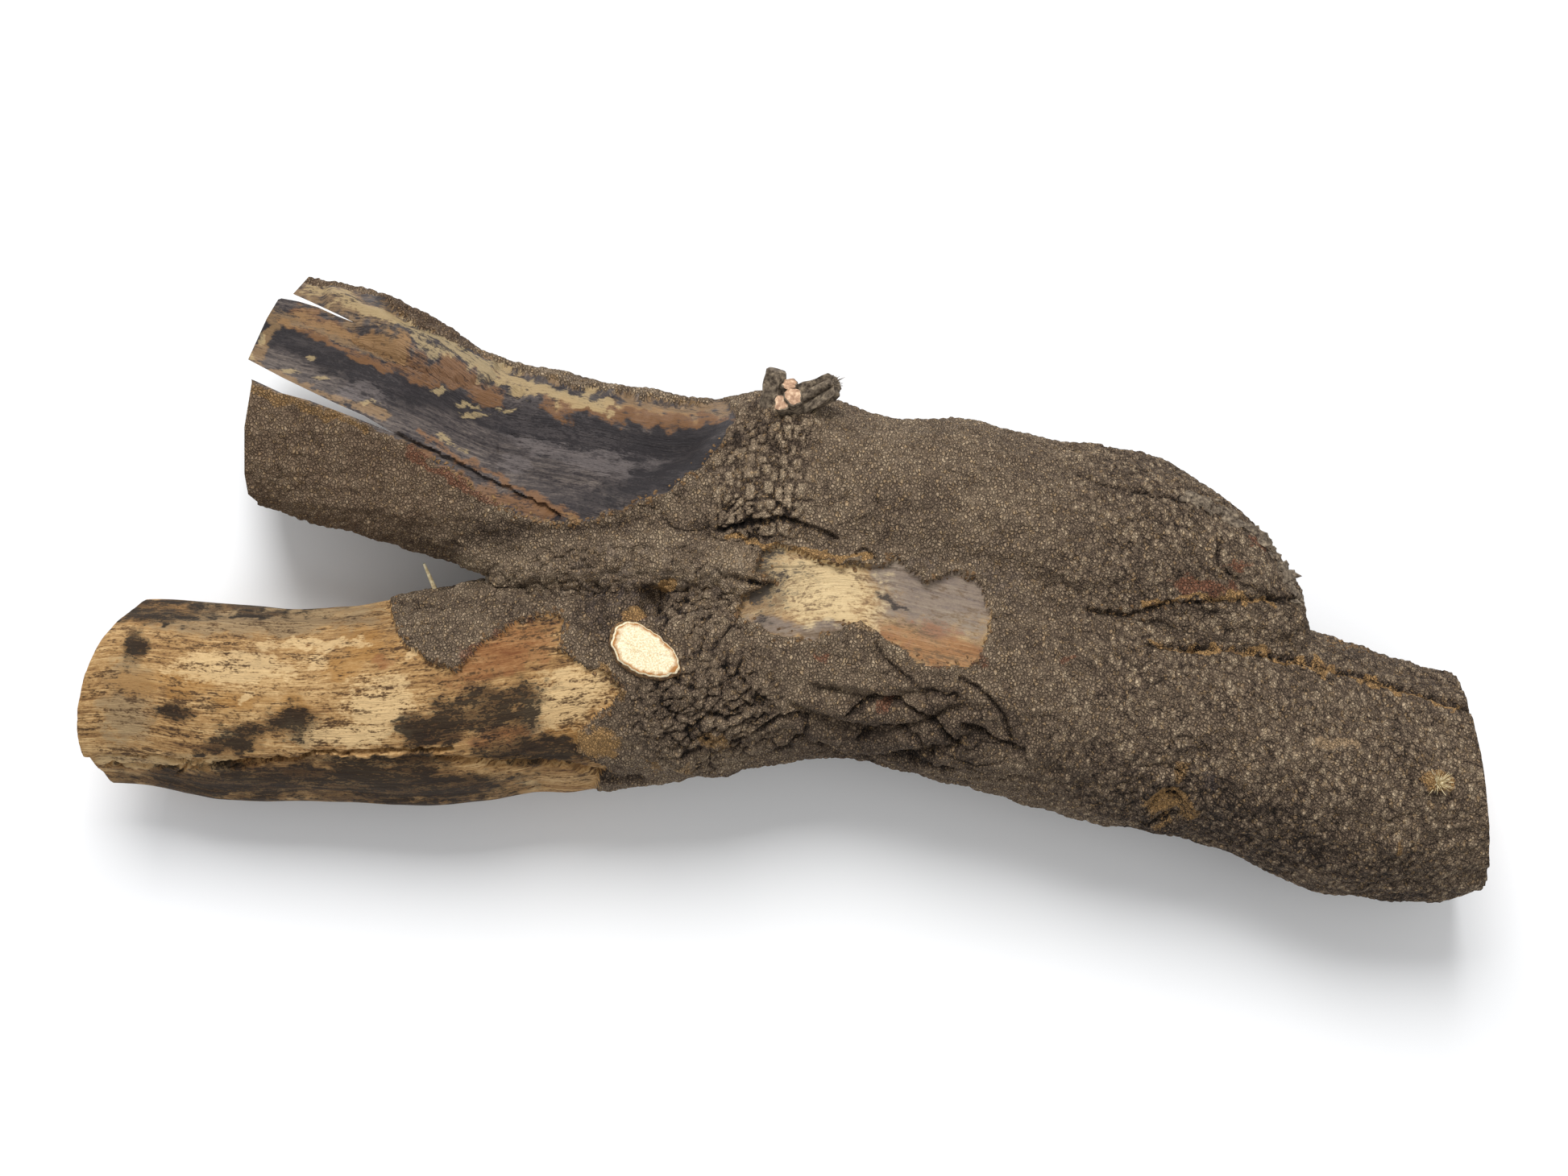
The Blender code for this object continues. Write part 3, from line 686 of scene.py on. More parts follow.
# Colour marks in plan: oval patches (middle, half length, half width, turn in degrees) and
# lines with a half width.
MARKS = {
    # On the bark, the broad "dark" ovals along the thick end's low side, over the folds below the scar, over
    # the ropy bark, in the crotch and in the bark hollow are painted shade; the other dark marks are real
    # rot and stains.
    "dark": ([
        (-264, -72, 14, 10), (-289, -77, 12, 4), (-297, -84, 15, 5), (-327, -66, 11, 5),
        (-313, -90, 5, 2), (-195, -77, 13, 9), (-180, -72, 14, 13), (-195, -96, 12, 6),
        (-346, -29, 7, 9), (-331, -11, 26, 5), (-279, -9, 31, 3), (-264, -104, 54, 5),
        (-208, -103, 26, 7), (-150, -57, 24, 8, 8), (-156, -70, 22, 11), (-135, -90, 34, 9),
        (-224, -96, 30, 3), (60, -78, 66, 22), (-40, -62, 40, 28), (-110, 24, 60, 12),
        (-40, 6, 40, 24), (240, -125, 100, 18, -18), (-60, 66, 44, 12, 28), (56, -5, 9, 1.6, -30),
        (-92, 14, 40, 9, 4), (-105, 2, 62, 17), (-30, 26, 24, 10, -10), (20, -80, 22, 10),
        (84, -78, 20, 14), (-60, 84, 34, 8, 8), (-300, -110, 60, 8), (-200, -112, 56, 9),
        (-150, 0, 30, 10), (-69, -5, 9, 7), (-92, -20, 12, 10),
    ], [
        ([(-280, 150), (-240, 128), (-200, 112), (-120, 92), (-60, 84)], 8),
        ([(-214, 154), (-203, 149), (-191, 141), (-178, 134), (-165, 129)], 4),
    ]),
    "rust": ([
        (-148, -32, 31, 13, 28), (84, -32, 27, 12, -20), (-215, -38, 5, 4), (-152, -80, 20, 5, 12),
        (222, 0, 20, 5, -6), (240, 12, 10, 3), (52, -62, 6, 3), (58, -22, 8, 5, -30), (-79, -16, 10, 6),
        (20, -36, 7, 3), (150, -38, 5, 2), (250, 24, 8, 3, -30),
    ], [
        ([(-196, 85), (-184, 74), (-171, 68), (-154, 59), (-139, 49), (-129, 41)], 1.8),
        ([(-201, 73), (-184, 63), (-171, 55), (-152, 47), (-139, 42), (-113, 37)], 3.6),
        ([(-268, 151), (-250, 143), (-236, 136), (-222, 129), (-203, 123), (-183, 118)], 2.4),
        ([(-262, 158), (-240, 149), (-218, 139), (-196, 127), (-176, 118), (-150, 109)], 3.2),
        ([(-128, 103), (-92, 98), (-60, 94), (-30, 93)], 2.6),
    ]),
    "gold": ([
        (-350, -52, 12, 8), (-225, -29, 14, 9), (-239, -41, 12, 6), (-298, -60, 12, 6), (-264, -63, 14, 6),
        (-320, -50, 16, 8), (-101, -82, 14, 9), (-117, -74, 12, 12), (-66, 0, 8, 2), (-87, -56, 4, 4),
        (-36, -81, 9, 6), (-55, -92, 4, 4), (-77, -13, 6, 5), (205, -115, 13, 8), (212, -96, 5, 4),
        (350, -104, 9, 5), (326, -138, 4, 4), (-112, 35, 6, 3), (-242, 93, 9, 3), (-69, -96, 8, 3),
    ], [
        ([(-284, 109), (-262, 101), (-240, 92), (-222, 84)], 1.8),
        ([(-286, 124), (-268, 114), (-250, 106), (-238, 101), (-216, 94)], 2.4),
        ([(-270, 153), (-276, 144), (-286, 122)], 2.4),
        ([(-284, 106), (-264, 99), (-246, 91)], 3.0),
        ([(-30, 97), (-80, 100), (-120, 105), (-150, 115)], 2.2),
        ([(-272, 155), (-248, 149), (-226, 141), (-205, 132)], 4.5),
        ([(-262, 170), (-245, 163), (-228, 156), (-208, 145)], 5.0),
    ]),
    "pale": ([
        (-250, -38, 6, 4), (-201, -34, 3, 2), (-289, -57, 4, 3), (-217, -62, 19, 13), (-238, -79, 31, 7),
        (-296, -42, 31, 8), (-251, -28, 26, 3), (-299, -79, 4, 3), (-115, -59, 25, 16, 24),
        (-225, 101, 6, 2), (-165, 101, 8, 1.2), (-184, 114, 4, 1), (-169, 106, 6, 1), (-145, 104, 5, 1),
        (-251, 116, 6, 1.2), (-268, 120, 4, 1.4), (-256, 130, 3, 1.2), (-281, 141, 2, 4), (-286, 128, 2, 5),
        (-182, 80, 8, 1.8, -25), (293, -83, 12, 4, -5), (14, 2, 34, 16, -12), (-55, -92, 3, 3),
        (-135, -111, 6, 2), (350, -104, 4, 3), (36, -16, 14, 5, -30), (24, 12, 10, 4),
    ], [
        ([(-252, 166), (-236, 160), (-222, 153), (-203, 141), (-191, 132), (-171, 123)], 3.0),
        ([(-171, 123), (-145, 113), (-120, 106), (-92, 101)], 2.4),
        ([(-365, -97), (-330, -98), (-300, -99)], 3.0),
    ]),
    "grey": ([
        (-219, 117, 14, 10), (-232, 105, 8, 5), (-100, 80, 60, 16, -20), (88, -2, 36, 24), (60, 8, 16, 11),
        (-352, -62, 12, 26), (-279, -14, 60, 8), (-4, -20, 22, 5, -16), (-76, 0, 50, 24), (20, -22, 16, 5),
        (-145, 69, 9, 5), (227, -101, 6, 7),
    ], []),
    "crumbly": ([
        (205, -115, 13, 8), (-101, -82, 14, 9), (-117, -78, 8, 8), (350, -104, 10, 6),
        (-80, -15, 7, 6), (-62, 1, 6, 2.5, 30), (-96, -48, 5, 8),
    ], [
        ([(196, -30), (222, -33), (252, -35), (283, -42), (313, -50), (362, -64)], 1.7),
        ([(192, -8), (215, -5), (240, -5), (262, -8)], 1.4),
        ([(-30, 30), (-8, 22), (20, 17), (34, 15), (48, 17)], 2.0),
        ([(290, -28), (318, -34)], 1.6),
    ]),
}
RIM = 3.2


def lay_marks(piece, skin, relief):
    """Keep on every vertex what the finishes need to know of its place."""
    mesh = piece.data
    ragged = 0.4 * skin.coarse + 0.3 * skin.fine
    bent = skin.places + 1.9 * (skin.torn - skin.places)
    near_edge = np.maximum(np.maximum(skin.limb_depth, skin.branch_depth), skin.scar_depth)
    found = {name: np.maximum(patches(bent, ragged, ovals), streaks(bent, ragged, lines))
             for name, (ovals, lines) in MARKS.items()}
    rim = ramp(-RIM, -0.5, near_edge) * (near_edge < 0.4) * ramp(-0.2, 0.4, skin.coarse + skin.fine)
    found["gold"] = np.maximum(found["gold"], 0.9 * rim)
    for name, values in found.items():
        write(mesh, name, values if name in ("dark", "grey") else values * skin.facing)
    write(mesh, "grain", skin.grain)
    # The relief is kept as "height" so that the bark finish can darken its low crevices and lighten its
    # raised tops: painted shade and painted highlight.
    write(mesh, "height", np.clip(0.5 + relief / 4.0, 0, 1))
    write(mesh, "trunk", ramp(110, 190, skin.places[:, 0] + 12 * skin.coarse))
    write(mesh, "pebbly", patches(skin.places, 0.25 * skin.coarse, PEBBLY, 0.25) * skin.facing)
    write(mesh, "ropy", patches(skin.places, 0.25 * skin.coarse, ROPY, 0.25) * skin.facing)
    write(mesh, "prong", ramp(-150, -190, skin.places[:, 0]) * ramp(20, 40, skin.places[:, 1]))


def linear(colour):
    """A colour written in sRGB hex, as the linear numbers that a shader takes."""
    parts = (int(colour[i:i + 2], 16) / 255 for i in (0, 2, 4))
    return (*(p / 12.92 if p <= 0.04045 else ((p + 0.055) / 1.055) ** 2.4 for p in parts), 1.0)


def add(tree, kind, out=0, links=(), stops=(), **settings):
    """Add a node with its settings and links, and give back one of its outputs.

    The links name their inputs, or come in the order of the inputs.
    """
    node = tree.nodes.new("ShaderNode" + kind)
    for name, value in settings.items():
        setattr(node, name, value)
    for name, value in links.items() if isinstance(links, dict) else enumerate(links):
        if isinstance(value, bpy.types.NodeSocket):
            tree.links.new(value, node.inputs[name])
        else:
            node.inputs[name].default_value = value
    for index, (place, colour) in enumerate(stops):
        ramp_stops = node.color_ramp.elements
        stop = ramp_stops[index] if index < 2 else ramp_stops.new(place)
        stop.position = place
        stop.color = linear(colour)
    return node.outputs[out]


def new_material(name, roughness, specular=0.5):
    """A material with a plain shader, ready for its pattern."""
    material = bpy.data.materials.new(name)
    material.use_nodes = True
    shader = material.node_tree.nodes["Principled BSDF"]
    shader.inputs["Roughness"].default_value = roughness
    shader.inputs["Specular IOR Level"].default_value = specular
    return material, material.node_tree, shader


def dry_bark():
    """Dry bark: small dull brown grains with nearly black gaps, leaning pips on the trunk."""
    material, tree, shader = new_material("dry_bark", 0.9, 0.2)
    place = add(tree, "TexCoord", "Object")
    grain = add(tree, "Attribute", "Vector", attribute_name="grain")
    mark = {name: add(tree, "Attribute", "Fac", attribute_name=name)
            for name in ("height", "trunk", "pebbly", "ropy", "prong", *MARKS)}
    grit, patch, drift, warp = (
        add(tree, "TexNoise", out, {"Vector": place, "Scale": 1 / (size_mm * MM), "Detail": detail,
                                    "Roughness": 0.6})
        for size_mm, detail, out in ((0.9, 3, "Fac"), (5, 3, "Fac"), (28, 2, "Fac"), (4, 2, "Color")))
    bend = 2.5 * MM
    bent = add(tree, "VectorMath", 0, (warp, (bend, bend, bend), place), operation="MULTIPLY_ADD")
    warp = add(tree, "TexNoise", "Color", {"Vector": grain, "Scale": 1 / 6, "Detail": 2})
    leant = add(tree, "VectorMath", 0, (warp, (4, 4, 0), grain), operation="MULTIPLY_ADD")
    leant = add(tree, "Mapping", 0, {"Vector": leant, "Rotation": (0, 0, 0.35)})

    # The sizes are in metres for the cells in space, and in mm along the grain for pips and lines.
    cells = {}
    for name, vector, size, feature, randomness, out in (
            ("gaps", bent, (1.5 * MM, 2.0 * MM, 1.8 * MM), "DISTANCE_TO_EDGE", 1, "Distance"),
            ("grains", bent, (1.5 * MM, 2.0 * MM, 1.8 * MM), "F1", 1, "Color"),
            ("plates", bent, (3.9 * MM, 4.4 * MM, 4.2 * MM), "F1", 1, "Distance"),
            ("pips", leant, (3.4, 6.4, 5), "F1", 0.85, "Distance"),
            ("lines", leant, (11, 4.2, 5), "DISTANCE_TO_EDGE", 1, "Distance")):
        scaled = add(tree, "Mapping", 0, {"Vector": vector, "Scale": tuple(1 / part for part in size)})
        cells[name] = add(tree, "TexVoronoi", out, {"Vector": scaled, "Scale": 1, "Randomness": randomness},
                          feature=feature)
    long_grain = add(tree, "Mapping", 0, {"Vector": leant, "Scale": (1 / 1.3, 1 / 9, 1 / 8)})
    stripes = add(tree, "TexNoise", "Fac", {"Vector": long_grain, "Scale": 1, "Detail": 2})

    # Each pattern is brought to 0 to 1, or to the last two numbers in its row.
    part = {}
    for name, source, *row in (
            ("gaps", cells["gaps"], 0.24, 0.0),
            ("grains", cells["grains"], 0.1, 0.9),
            ("plates", cells["plates"], 0.75, 0.2),
            ("pips", cells["pips"], 0.44, 0.22),
            ("lines", cells["lines"], 0.07, 0.0),
            ("stripes", stripes, 0.38, 0.6),
            ("warts", mark["height"], 0.36, 0.66),
            ("chinks", mark["height"], 0.48, 0.30),
            ("flecks", cells["grains"], 0.70, 0.80),
            ("gritty", grit, 0.45, 0.6, 0.0, 0.55),
            ("cool", patch, 0.5, 0.62, 0.0, 0.35),
            ("grey", mark["grey"], 0.0, 1.0, 0.1, 0.8),
            ("trunk_tops", mark["trunk"], 0.0, 1.0, 1.0, 0.75),
            ("trunk_pips", mark["trunk"], 0.0, 1.0, 0.25, 1.0),
            ("trunk_lines", mark["trunk"], 0.0, 1.0, 0.15, 1.0)):
        part[name] = add(tree, "MapRange", 0, (source, *row))
    part["ridges"] = add(tree, "MapRange", 0, (part["gaps"], 1.0, 0.0))
    part["striped"] = add(tree, "MapRange", 0, (part["stripes"], 0.0, 1.0, 0.7, 1.0))
    for name, one, other in (
            ("small", part["grains"], part["ridges"]), ("warts", part["warts"], part["striped"]),
            ("chinks", mark["ropy"], part["chinks"]), ("pips", part["pips"], part["trunk_pips"]),
            ("lines", part["lines"], part["trunk_lines"]), ("flecks", part["flecks"], part["gritty"]),
            ("ropes", mark["ropy"], 0.5), ("prong", mark["prong"], 0.35)):
        part[name] = add(tree, "Math", 0, (one, other), operation="MULTIPLY")
    tops = add(tree, "Mix", 0, {0: part["ropes"], 2: part["small"], 3: part["stripes"]})
    tops = add(tree, "Mix", 0, {0: mark["pebbly"], 2: tops, 3: part["warts"]})
    tops = add(tree, "Math", 0, (tops, part["trunk_tops"]), operation="MULTIPLY")

    tone = -0.155
    for source, share in (
            # The chinks darken the low places of the ropy bark, and "height" below lightens the raised bark
            # and darkens its crevices: painted shade and painted highlight.
            (tops, 0.19), (part["gaps"], -0.08), (part["chinks"], -0.16), (mark["pebbly"], -0.05),
            (part["plates"], 0.08), (grit, 0.56), (mark["height"], 0.36), (patch, 0.26), (drift, 0.32),
            # The "dark" mark lays painted shade on the bark's low side, folds, ropy bark, crotch and hollow.
            (part["pips"], 0.26), (part["lines"], -0.18), (mark["trunk"], -0.05), (mark["dark"], -0.15)):
        tone = add(tree, "Math", 0, (source, share, tone), operation="MULTIPLY_ADD")
    colour = add(tree, "ValToRGB", "Color", (tone,), stops=(
        (0.10, "140f0c"), (1.0, "c2ad90"), (0.30, "31271f"), (0.48, "5c4d40"), (0.72, "8a7762")))
    cool = add(tree, "Mix", 2, {0: part["cool"], 6: colour, 7: linear("565055")}, data_type="RGBA")
    layers = [(part["grey"], cool), (part["prong"], linear("6a513c")), (part["flecks"], linear("a68558"))]
    shown = add(tree, "MapRange", 0, (tone, 0.22, 0.5))
    for name, hue, low, share in (("gold", "9a7647", 0.75, 0.7), ("rust", "80503a", 0.75, 0.8),
                                  ("pale", "b09472", 0.7, 0.8), ("crumbly", "b08a5a", 0.45, 0.9)):
        speck = add(tree, "Math", 0, (mark[name], -0.55), operation="ADD")
        speck = add(tree, "Math", 0, (grit, 1.1, speck), operation="MULTIPLY_ADD")
        speck = add(tree, "MapRange", 0, (speck, low, low + 0.3))
        cover = add(tree, "Math", 0, (shown, share), operation="MULTIPLY")
        layers.append((add(tree, "Math", 0, (speck, cover), operation="MULTIPLY"), linear(hue)))
    for cover, hue in layers:
        colour = add(tree, "Mix", 2, {0: cover, 6: colour, 7: hue}, data_type="RGBA")
    tree.links.new(colour, shader.inputs["Base Color"])

    lift = add(tree, "Math", 0, (part["plates"], 0.6), operation="MULTIPLY")
    for source, share in ((tops, 0.6), (part["gaps"], -1.0), (grit, 0.8), (part["pips"], 0.6),
                          (part["lines"], -0.8)):
        lift = add(tree, "Math", 0, (source, share, lift), operation="MULTIPLY_ADD")
    bump = add(tree, "Bump", 0, {"Height": lift, "Strength": 1.0, "Distance": 0.0010})
    tree.links.new(bump, shader.inputs["Normal"])
    return material


# For each stain: how soft its edge is, how strongly it covers, and how broken it is.
STAIN_EDGES = {"grey": (0.8, 0.85, 0.8), "gold": (0.8, 0.65, 1.0), "rust": (0.8, 0.7, 1.0),
               "pale": (0.8, 0.8, 1.3), "dark": (0.9, 0.97, 1.5)}


def worn_wood(name, roughness, tones, grime, hues, grime_share):
    """Bare wood worn along its grain: fibres, grime in them, and stains with frayed edges."""
    material, tree, shader = new_material(name, roughness, 0.18)
    grain = add(tree, "Attribute", "Vector", attribute_name="grain")
    noises = {}
    for kind, size, detail, distortion in (
            ("fibres", (14, 0.8, 2.0), 4, 0), ("bands", (40, 4.0, 8.0), 4, 0.3),
            ("flakes", (6.0, 2.2, 3.5), 5, 0.5), ("frays", (26, 7.5, 12), 6, 0.4),
            ("clouds", (48, 22, 30), 3, 0), ("specks", (1.7, 1.0, 1.3), 3, 0)):
        drawn = add(tree, "Mapping", 0, {"Vector": grain, "Scale": tuple(1 / part for part in size)})
        drawn = add(tree, "TexNoise", "Fac", {"Vector": drawn, "Scale": 1, "Detail": detail,
                                              "Roughness": 0.62, "Distortion": distortion})
        noises[kind] = add(tree, "MapRange", 0, (drawn, 0.32, 0.68))

    # The wood's tone, how far its stains are torn and where dirt sits are three mixes of those noises.
    mixes = []
    for shares in ((("fibres", 0.24), ("bands", 0.22), ("flakes", 0.18), ("specks", 0.16), ("clouds", 0.20)),
                   (("flakes", 0.30), ("fibres", 0.12), ("specks", 0.26), ("frays", 0.32)),
                   (("frays", 0.35), ("flakes", 0.3), ("specks", 0.23), ("fibres", 0.12))):
        mixed = 0.0
        for kind, share in shares:
            mixed = add(tree, "Math", 0, (noises[kind], share, mixed), operation="MULTIPLY_ADD")
        mixes.append(mixed)
    tone, torn, dirt = mixes
    colour = add(tree, "ValToRGB", "Color", (tone,), stops=(
        (0.25, tones[0]), (0.78, tones[2]), (0.5, tones[1])))
    torn = add(tree, "MapRange", 0, (torn, 0.30, 0.70))
    for mark, hue in hues.items():
        cover = add(tree, "Attribute", "Fac", attribute_name=mark)
        soft, share, broken = STAIN_EDGES[mark]
        edge = add(tree, "Math", 0, (torn, broken, cover), operation="MULTIPLY_ADD")
        edge = add(tree, "Math", 0, (edge, -0.5 - 0.5 * broken), operation="ADD")
        edge = add(tree, "MapRange", 0, (edge, -soft / 2, soft / 2))
        edge = add(tree, "Math", 0, (edge, share), operation="MULTIPLY")
        there = add(tree, "MapRange", 0, (cover, 0.0, 0.3))
        edge = add(tree, "Math", 0, (edge, there), operation="MULTIPLY")
        kept = 0.04 if mark == "dark" else 0.22
        hued = add(tree, "Mix", 2, {0: kept, 6: linear(hue), 7: colour}, data_type="RGBA")
        colour = add(tree, "Mix", 2, {0: edge, 6: colour, 7: hued}, data_type="RGBA")
    dirt = add(tree, "MapRange", 0, (dirt, 0.45, 0.30))
    dirt = add(tree, "Math", 0, (dirt, grime_share), operation="MULTIPLY")
    colour = add(tree, "Mix", 2, {0: dirt, 6: colour, 7: linear(grime)}, data_type="RGBA")
    tree.links.new(colour, shader.inputs["Base Color"])
    lift = add(tree, "Math", 0, (noises["flakes"], 0.6, noises["fibres"]), operation="MULTIPLY_ADD")
    bump = add(tree, "Bump", 0, {"Height": lift, "Strength": 0.7, "Distance": 0.0007})
    tree.links.new(bump, shader.inputs["Normal"])
    return material


def worn_limb_wood():
    """Tan limb wood, scraped to cream, greyed at its end and nearly black where it rotted."""
    hues = {"grey": "8f7d61", "gold": "a17339", "rust": "824c2c", "pale": "dfc190", "dark": "1b1513"}
    return worn_wood("worn_limb_wood", 0.72, ("64452a", "a58052", "d8b683"), "433021", hues, 0.85)


def stained_trough_wood():
    """Heartwood stained blue black by water, smooth, with a dull sheen and tan torn edges."""
    hues = {"grey": "706866", "dark": "2a2729", "rust": "90663f", "gold": "a08058", "pale": "b59f76"}
    return worn_wood("stained_trough_wood", 0.5, ("332f30", "4f4846", "786d65"), "2b282b", hues, 0.5)


def scar_wood():
    """Pale wood of the scar, silver grey on one side and orange on the other."""
    hues = {"grey": "6f6b6c", "rust": "96603a", "pale": "dfc799", "gold": "b08a50", "dark": "3c3634"}
    return worn_wood("scar_wood", 0.68, ("7e6347", "ae9069", "d2ba92"), "5c4e40", hues, 0.5)


def sawn_end(name, pith, tones):
    """Weathered end grain: growth rings round the pith, radial checks and fine saw marks."""
    material, tree, shader = new_material(name, 0.8, 0.3)
    place = add(tree, "TexCoord", "Object")
    away = add(tree, "VectorMath", 0, (place, Vector(pith) * MM), operation="SUBTRACT")
    radius = add(tree, "VectorMath", 1, (away,), operation="LENGTH")
    wobble = add(tree, "TexNoise", "Fac", {"Vector": place, "Scale": 45, "Detail": 4})
    radius = add(tree, "Math", 0, (wobble, 0.02, radius), operation="MULTIPLY_ADD")
    ring = add(tree, "Math", 0, (radius, math.tau / (RING_GAP * MM)), operation="MULTIPLY")
    ring = add(tree, "Math", 0, (ring,), operation="SINE")
    toward = add(tree, "VectorMath", 0, (away,), operation="NORMALIZE")
    rays = add(tree, "TexVoronoi", "Distance", {"Vector": toward, "Scale": 3.4}, feature="DISTANCE_TO_EDGE")
    rays = add(tree, "Math", 0, (wobble, 0.03, rays), operation="MULTIPLY_ADD")
    check = add(tree, "MapRange", 0, (rays, 0.028, 0.016))
    saw = add(tree, "Mapping", 0, {"Vector": place, "Scale": (900, 900, 40), "Rotation": (0.5, 0, 0)})
    marks = add(tree, "TexNoise", "Fac", {"Vector": saw, "Scale": 1, "Detail": 3})
    stain = add(tree, "TexNoise", "Fac", {"Vector": place, "Scale": 30, "Detail": 4})
    tone = 0.0
    for source, share in ((stain, 0.8), (ring, 0.05), (marks, 0.35)):
        tone = add(tree, "Math", 0, (source, share, tone), operation="MULTIPLY_ADD")
    colour = add(tree, "ValToRGB", "Color", (tone,), stops=(
        (0.35, tones[0]), (0.8, tones[2]), (0.58, tones[1])))
    colour = add(tree, "Mix", 2, {0: check, 6: colour, 7: linear("2b2019")}, data_type="RGBA")
    tree.links.new(colour, shader.inputs["Base Color"])
    lift = add(tree, "Math", 0, (ring, 0.15, marks), operation="MULTIPLY_ADD")
    lift = add(tree, "Math", 0, (check, -1.5, lift), operation="MULTIPLY_ADD")
    bump = add(tree, "Bump", 0, {"Height": lift, "Strength": 0.8, "Distance": 0.0006})
    tree.links.new(bump, shader.inputs["Normal"])
    return material


def limb_end():
    """The bare limb's sawn end, tan and a little grey."""
    return sawn_end("limb_end", HOME + LEFT_CUT[0], ("6e5a42", "a2845e", "cdb080"))


def branch_end():
    """The ends of the branch's tongues, dark from water."""
    return sawn_end("branch_end", HOME + (-284, 108, 84), ("3a322c", "6c5a48", "a08562"))


def thick_end():
    """The thick end's sawn face, brown towards its bark."""
    return sawn_end("thick_end_face", HOME + RIGHT_CUT[0], ("5a4634", "927252", "bd9b70"))


def split_wall():
    """The torn walls inside the splits: long fibres, orange brown to nearly black."""
    material, tree, shader = new_material("split_wall", 0.8, 0.25)
    place = add(tree, "TexCoord", "Object")
    drawn = add(tree, "Mapping", 0, {"Vector": place, "Scale": (50, 700, 700), "Rotation": (0, 0, 0.45)})
    fibres = add(tree, "TexNoise", "Fac", {"Vector": drawn, "Scale": 1, "Detail": 5, "Roughness": 0.6})
    colour = add(tree, "ValToRGB", "Color", (fibres,), stops=(
        (0.35, "2f2723"), (0.7, "a07a50"), (0.5, "5f4a38")))
    tree.links.new(colour, shader.inputs["Base Color"])
    bump = add(tree, "Bump", 0, {"Height": fibres, "Strength": 1.0, "Distance": 0.0012})
    tree.links.new(bump, shader.inputs["Normal"])
    return material


def fresh_sawn_wood():
    """Fresh sawn end grain of a side branch: cream, with faint rings that follow its outline."""
    material, tree, shader = new_material("fresh_sawn_wood", 0.7, 0.3)
    ring = add(tree, "Attribute", "Fac", attribute_name="ring")
    place = add(tree, "TexCoord", "Object")
    mottle = add(tree, "TexNoise", "Fac", {"Vector": place, "Scale": 260, "Detail": 4})
    pores = add(tree, "TexNoise", "Fac", {"Vector": place, "Scale": 1300, "Detail": 2})
    bent = add(tree, "Math", 0, (mottle, 0.35, ring), operation="MULTIPLY_ADD")
    wave = add(tree, "Math", 0, (bent, 52.0), operation="MULTIPLY")
    wave = add(tree, "Math", 0, (wave,), operation="SINE")
    line = add(tree, "MapRange", 0, (wave, 0.75, 1.0))
    line = add(tree, "Math", 0, (line, 0.22), operation="MULTIPLY")
    colour = add(tree, "ValToRGB", "Color", {0: pores}, stops=((0.35, "d2bd92"), (0.6, "efe3c6")))
    colour = add(tree, "Mix", 2, {0: line, 6: colour, 7: linear("c6a877")}, data_type="RGBA")
    rim = add(tree, "MapRange", 0, (bent, 0.98, 1.10))
    colour = add(tree, "Mix", 2, {0: rim, 6: colour, 7: linear("a3703c")}, data_type="RGBA")
    tree.links.new(colour, shader.inputs["Base Color"])
    bump = add(tree, "Bump", 0, {"Height": pores, "Strength": 0.5, "Distance": 0.0004})
    tree.links.new(bump, shader.inputs["Normal"])
    return material


def speckled(name, size_mm, dark, middle, light, roughness):
    """A dull surface with grains of three tones."""
    material, tree, shader = new_material(name, roughness, 0.25)
    place = add(tree, "TexCoord", "Object")
    speck = add(tree, "TexNoise", "Fac", {"Vector": place, "Scale": 1 / (size_mm * MM), "Detail": 4,
                                          "Roughness": 0.6})
    colour = add(tree, "ValToRGB", "Color", (speck,), stops=((0.35, dark), (0.68, light), (0.52, middle)))
    tree.links.new(colour, shader.inputs["Base Color"])
    bump = add(tree, "Bump", 0, {"Height": speck, "Strength": 0.8, "Distance": 0.0006})
    tree.links.new(bump, shader.inputs["Normal"])
    return material


def pink_sawn_twig():
    """The sawn faces of live twigs, pinkish with cream in them."""
    return speckled("pink_sawn_twig", 2.5, "8f6f58", "b9967a", "e0c4a4", 0.7)


def twig_bark():
    """Thin grey brown twig bark, dry and a little lumpy."""
    return speckled("twig_bark", 2.2, "3a3129", "6a5e50", "948570", 0.88)


def torn_fibre():
    """Torn dry fibres, straw coloured."""
    return speckled("torn_fibre", 2.0, "a08a62", "d2c096", "efe4c2", 0.75)


def bark_crumb():
    """Crumbled inner bark, golden brown on its broken faces."""
    return speckled("bark_crumb", 1.6, "3c2e22", "6c533a", "96764c", 0.9)


# The finishes in the order in which every piece of the wood holds them.
FINISHES = (dry_bark, worn_limb_wood, stained_trough_wood, scar_wood,
            limb_end, branch_end, thick_end, split_wall)
BARK, LIMB, TROUGH, SCAR, LIMB_END, BRANCH_END, THICK_END, SPLIT_WALL = range(len(FINISHES))


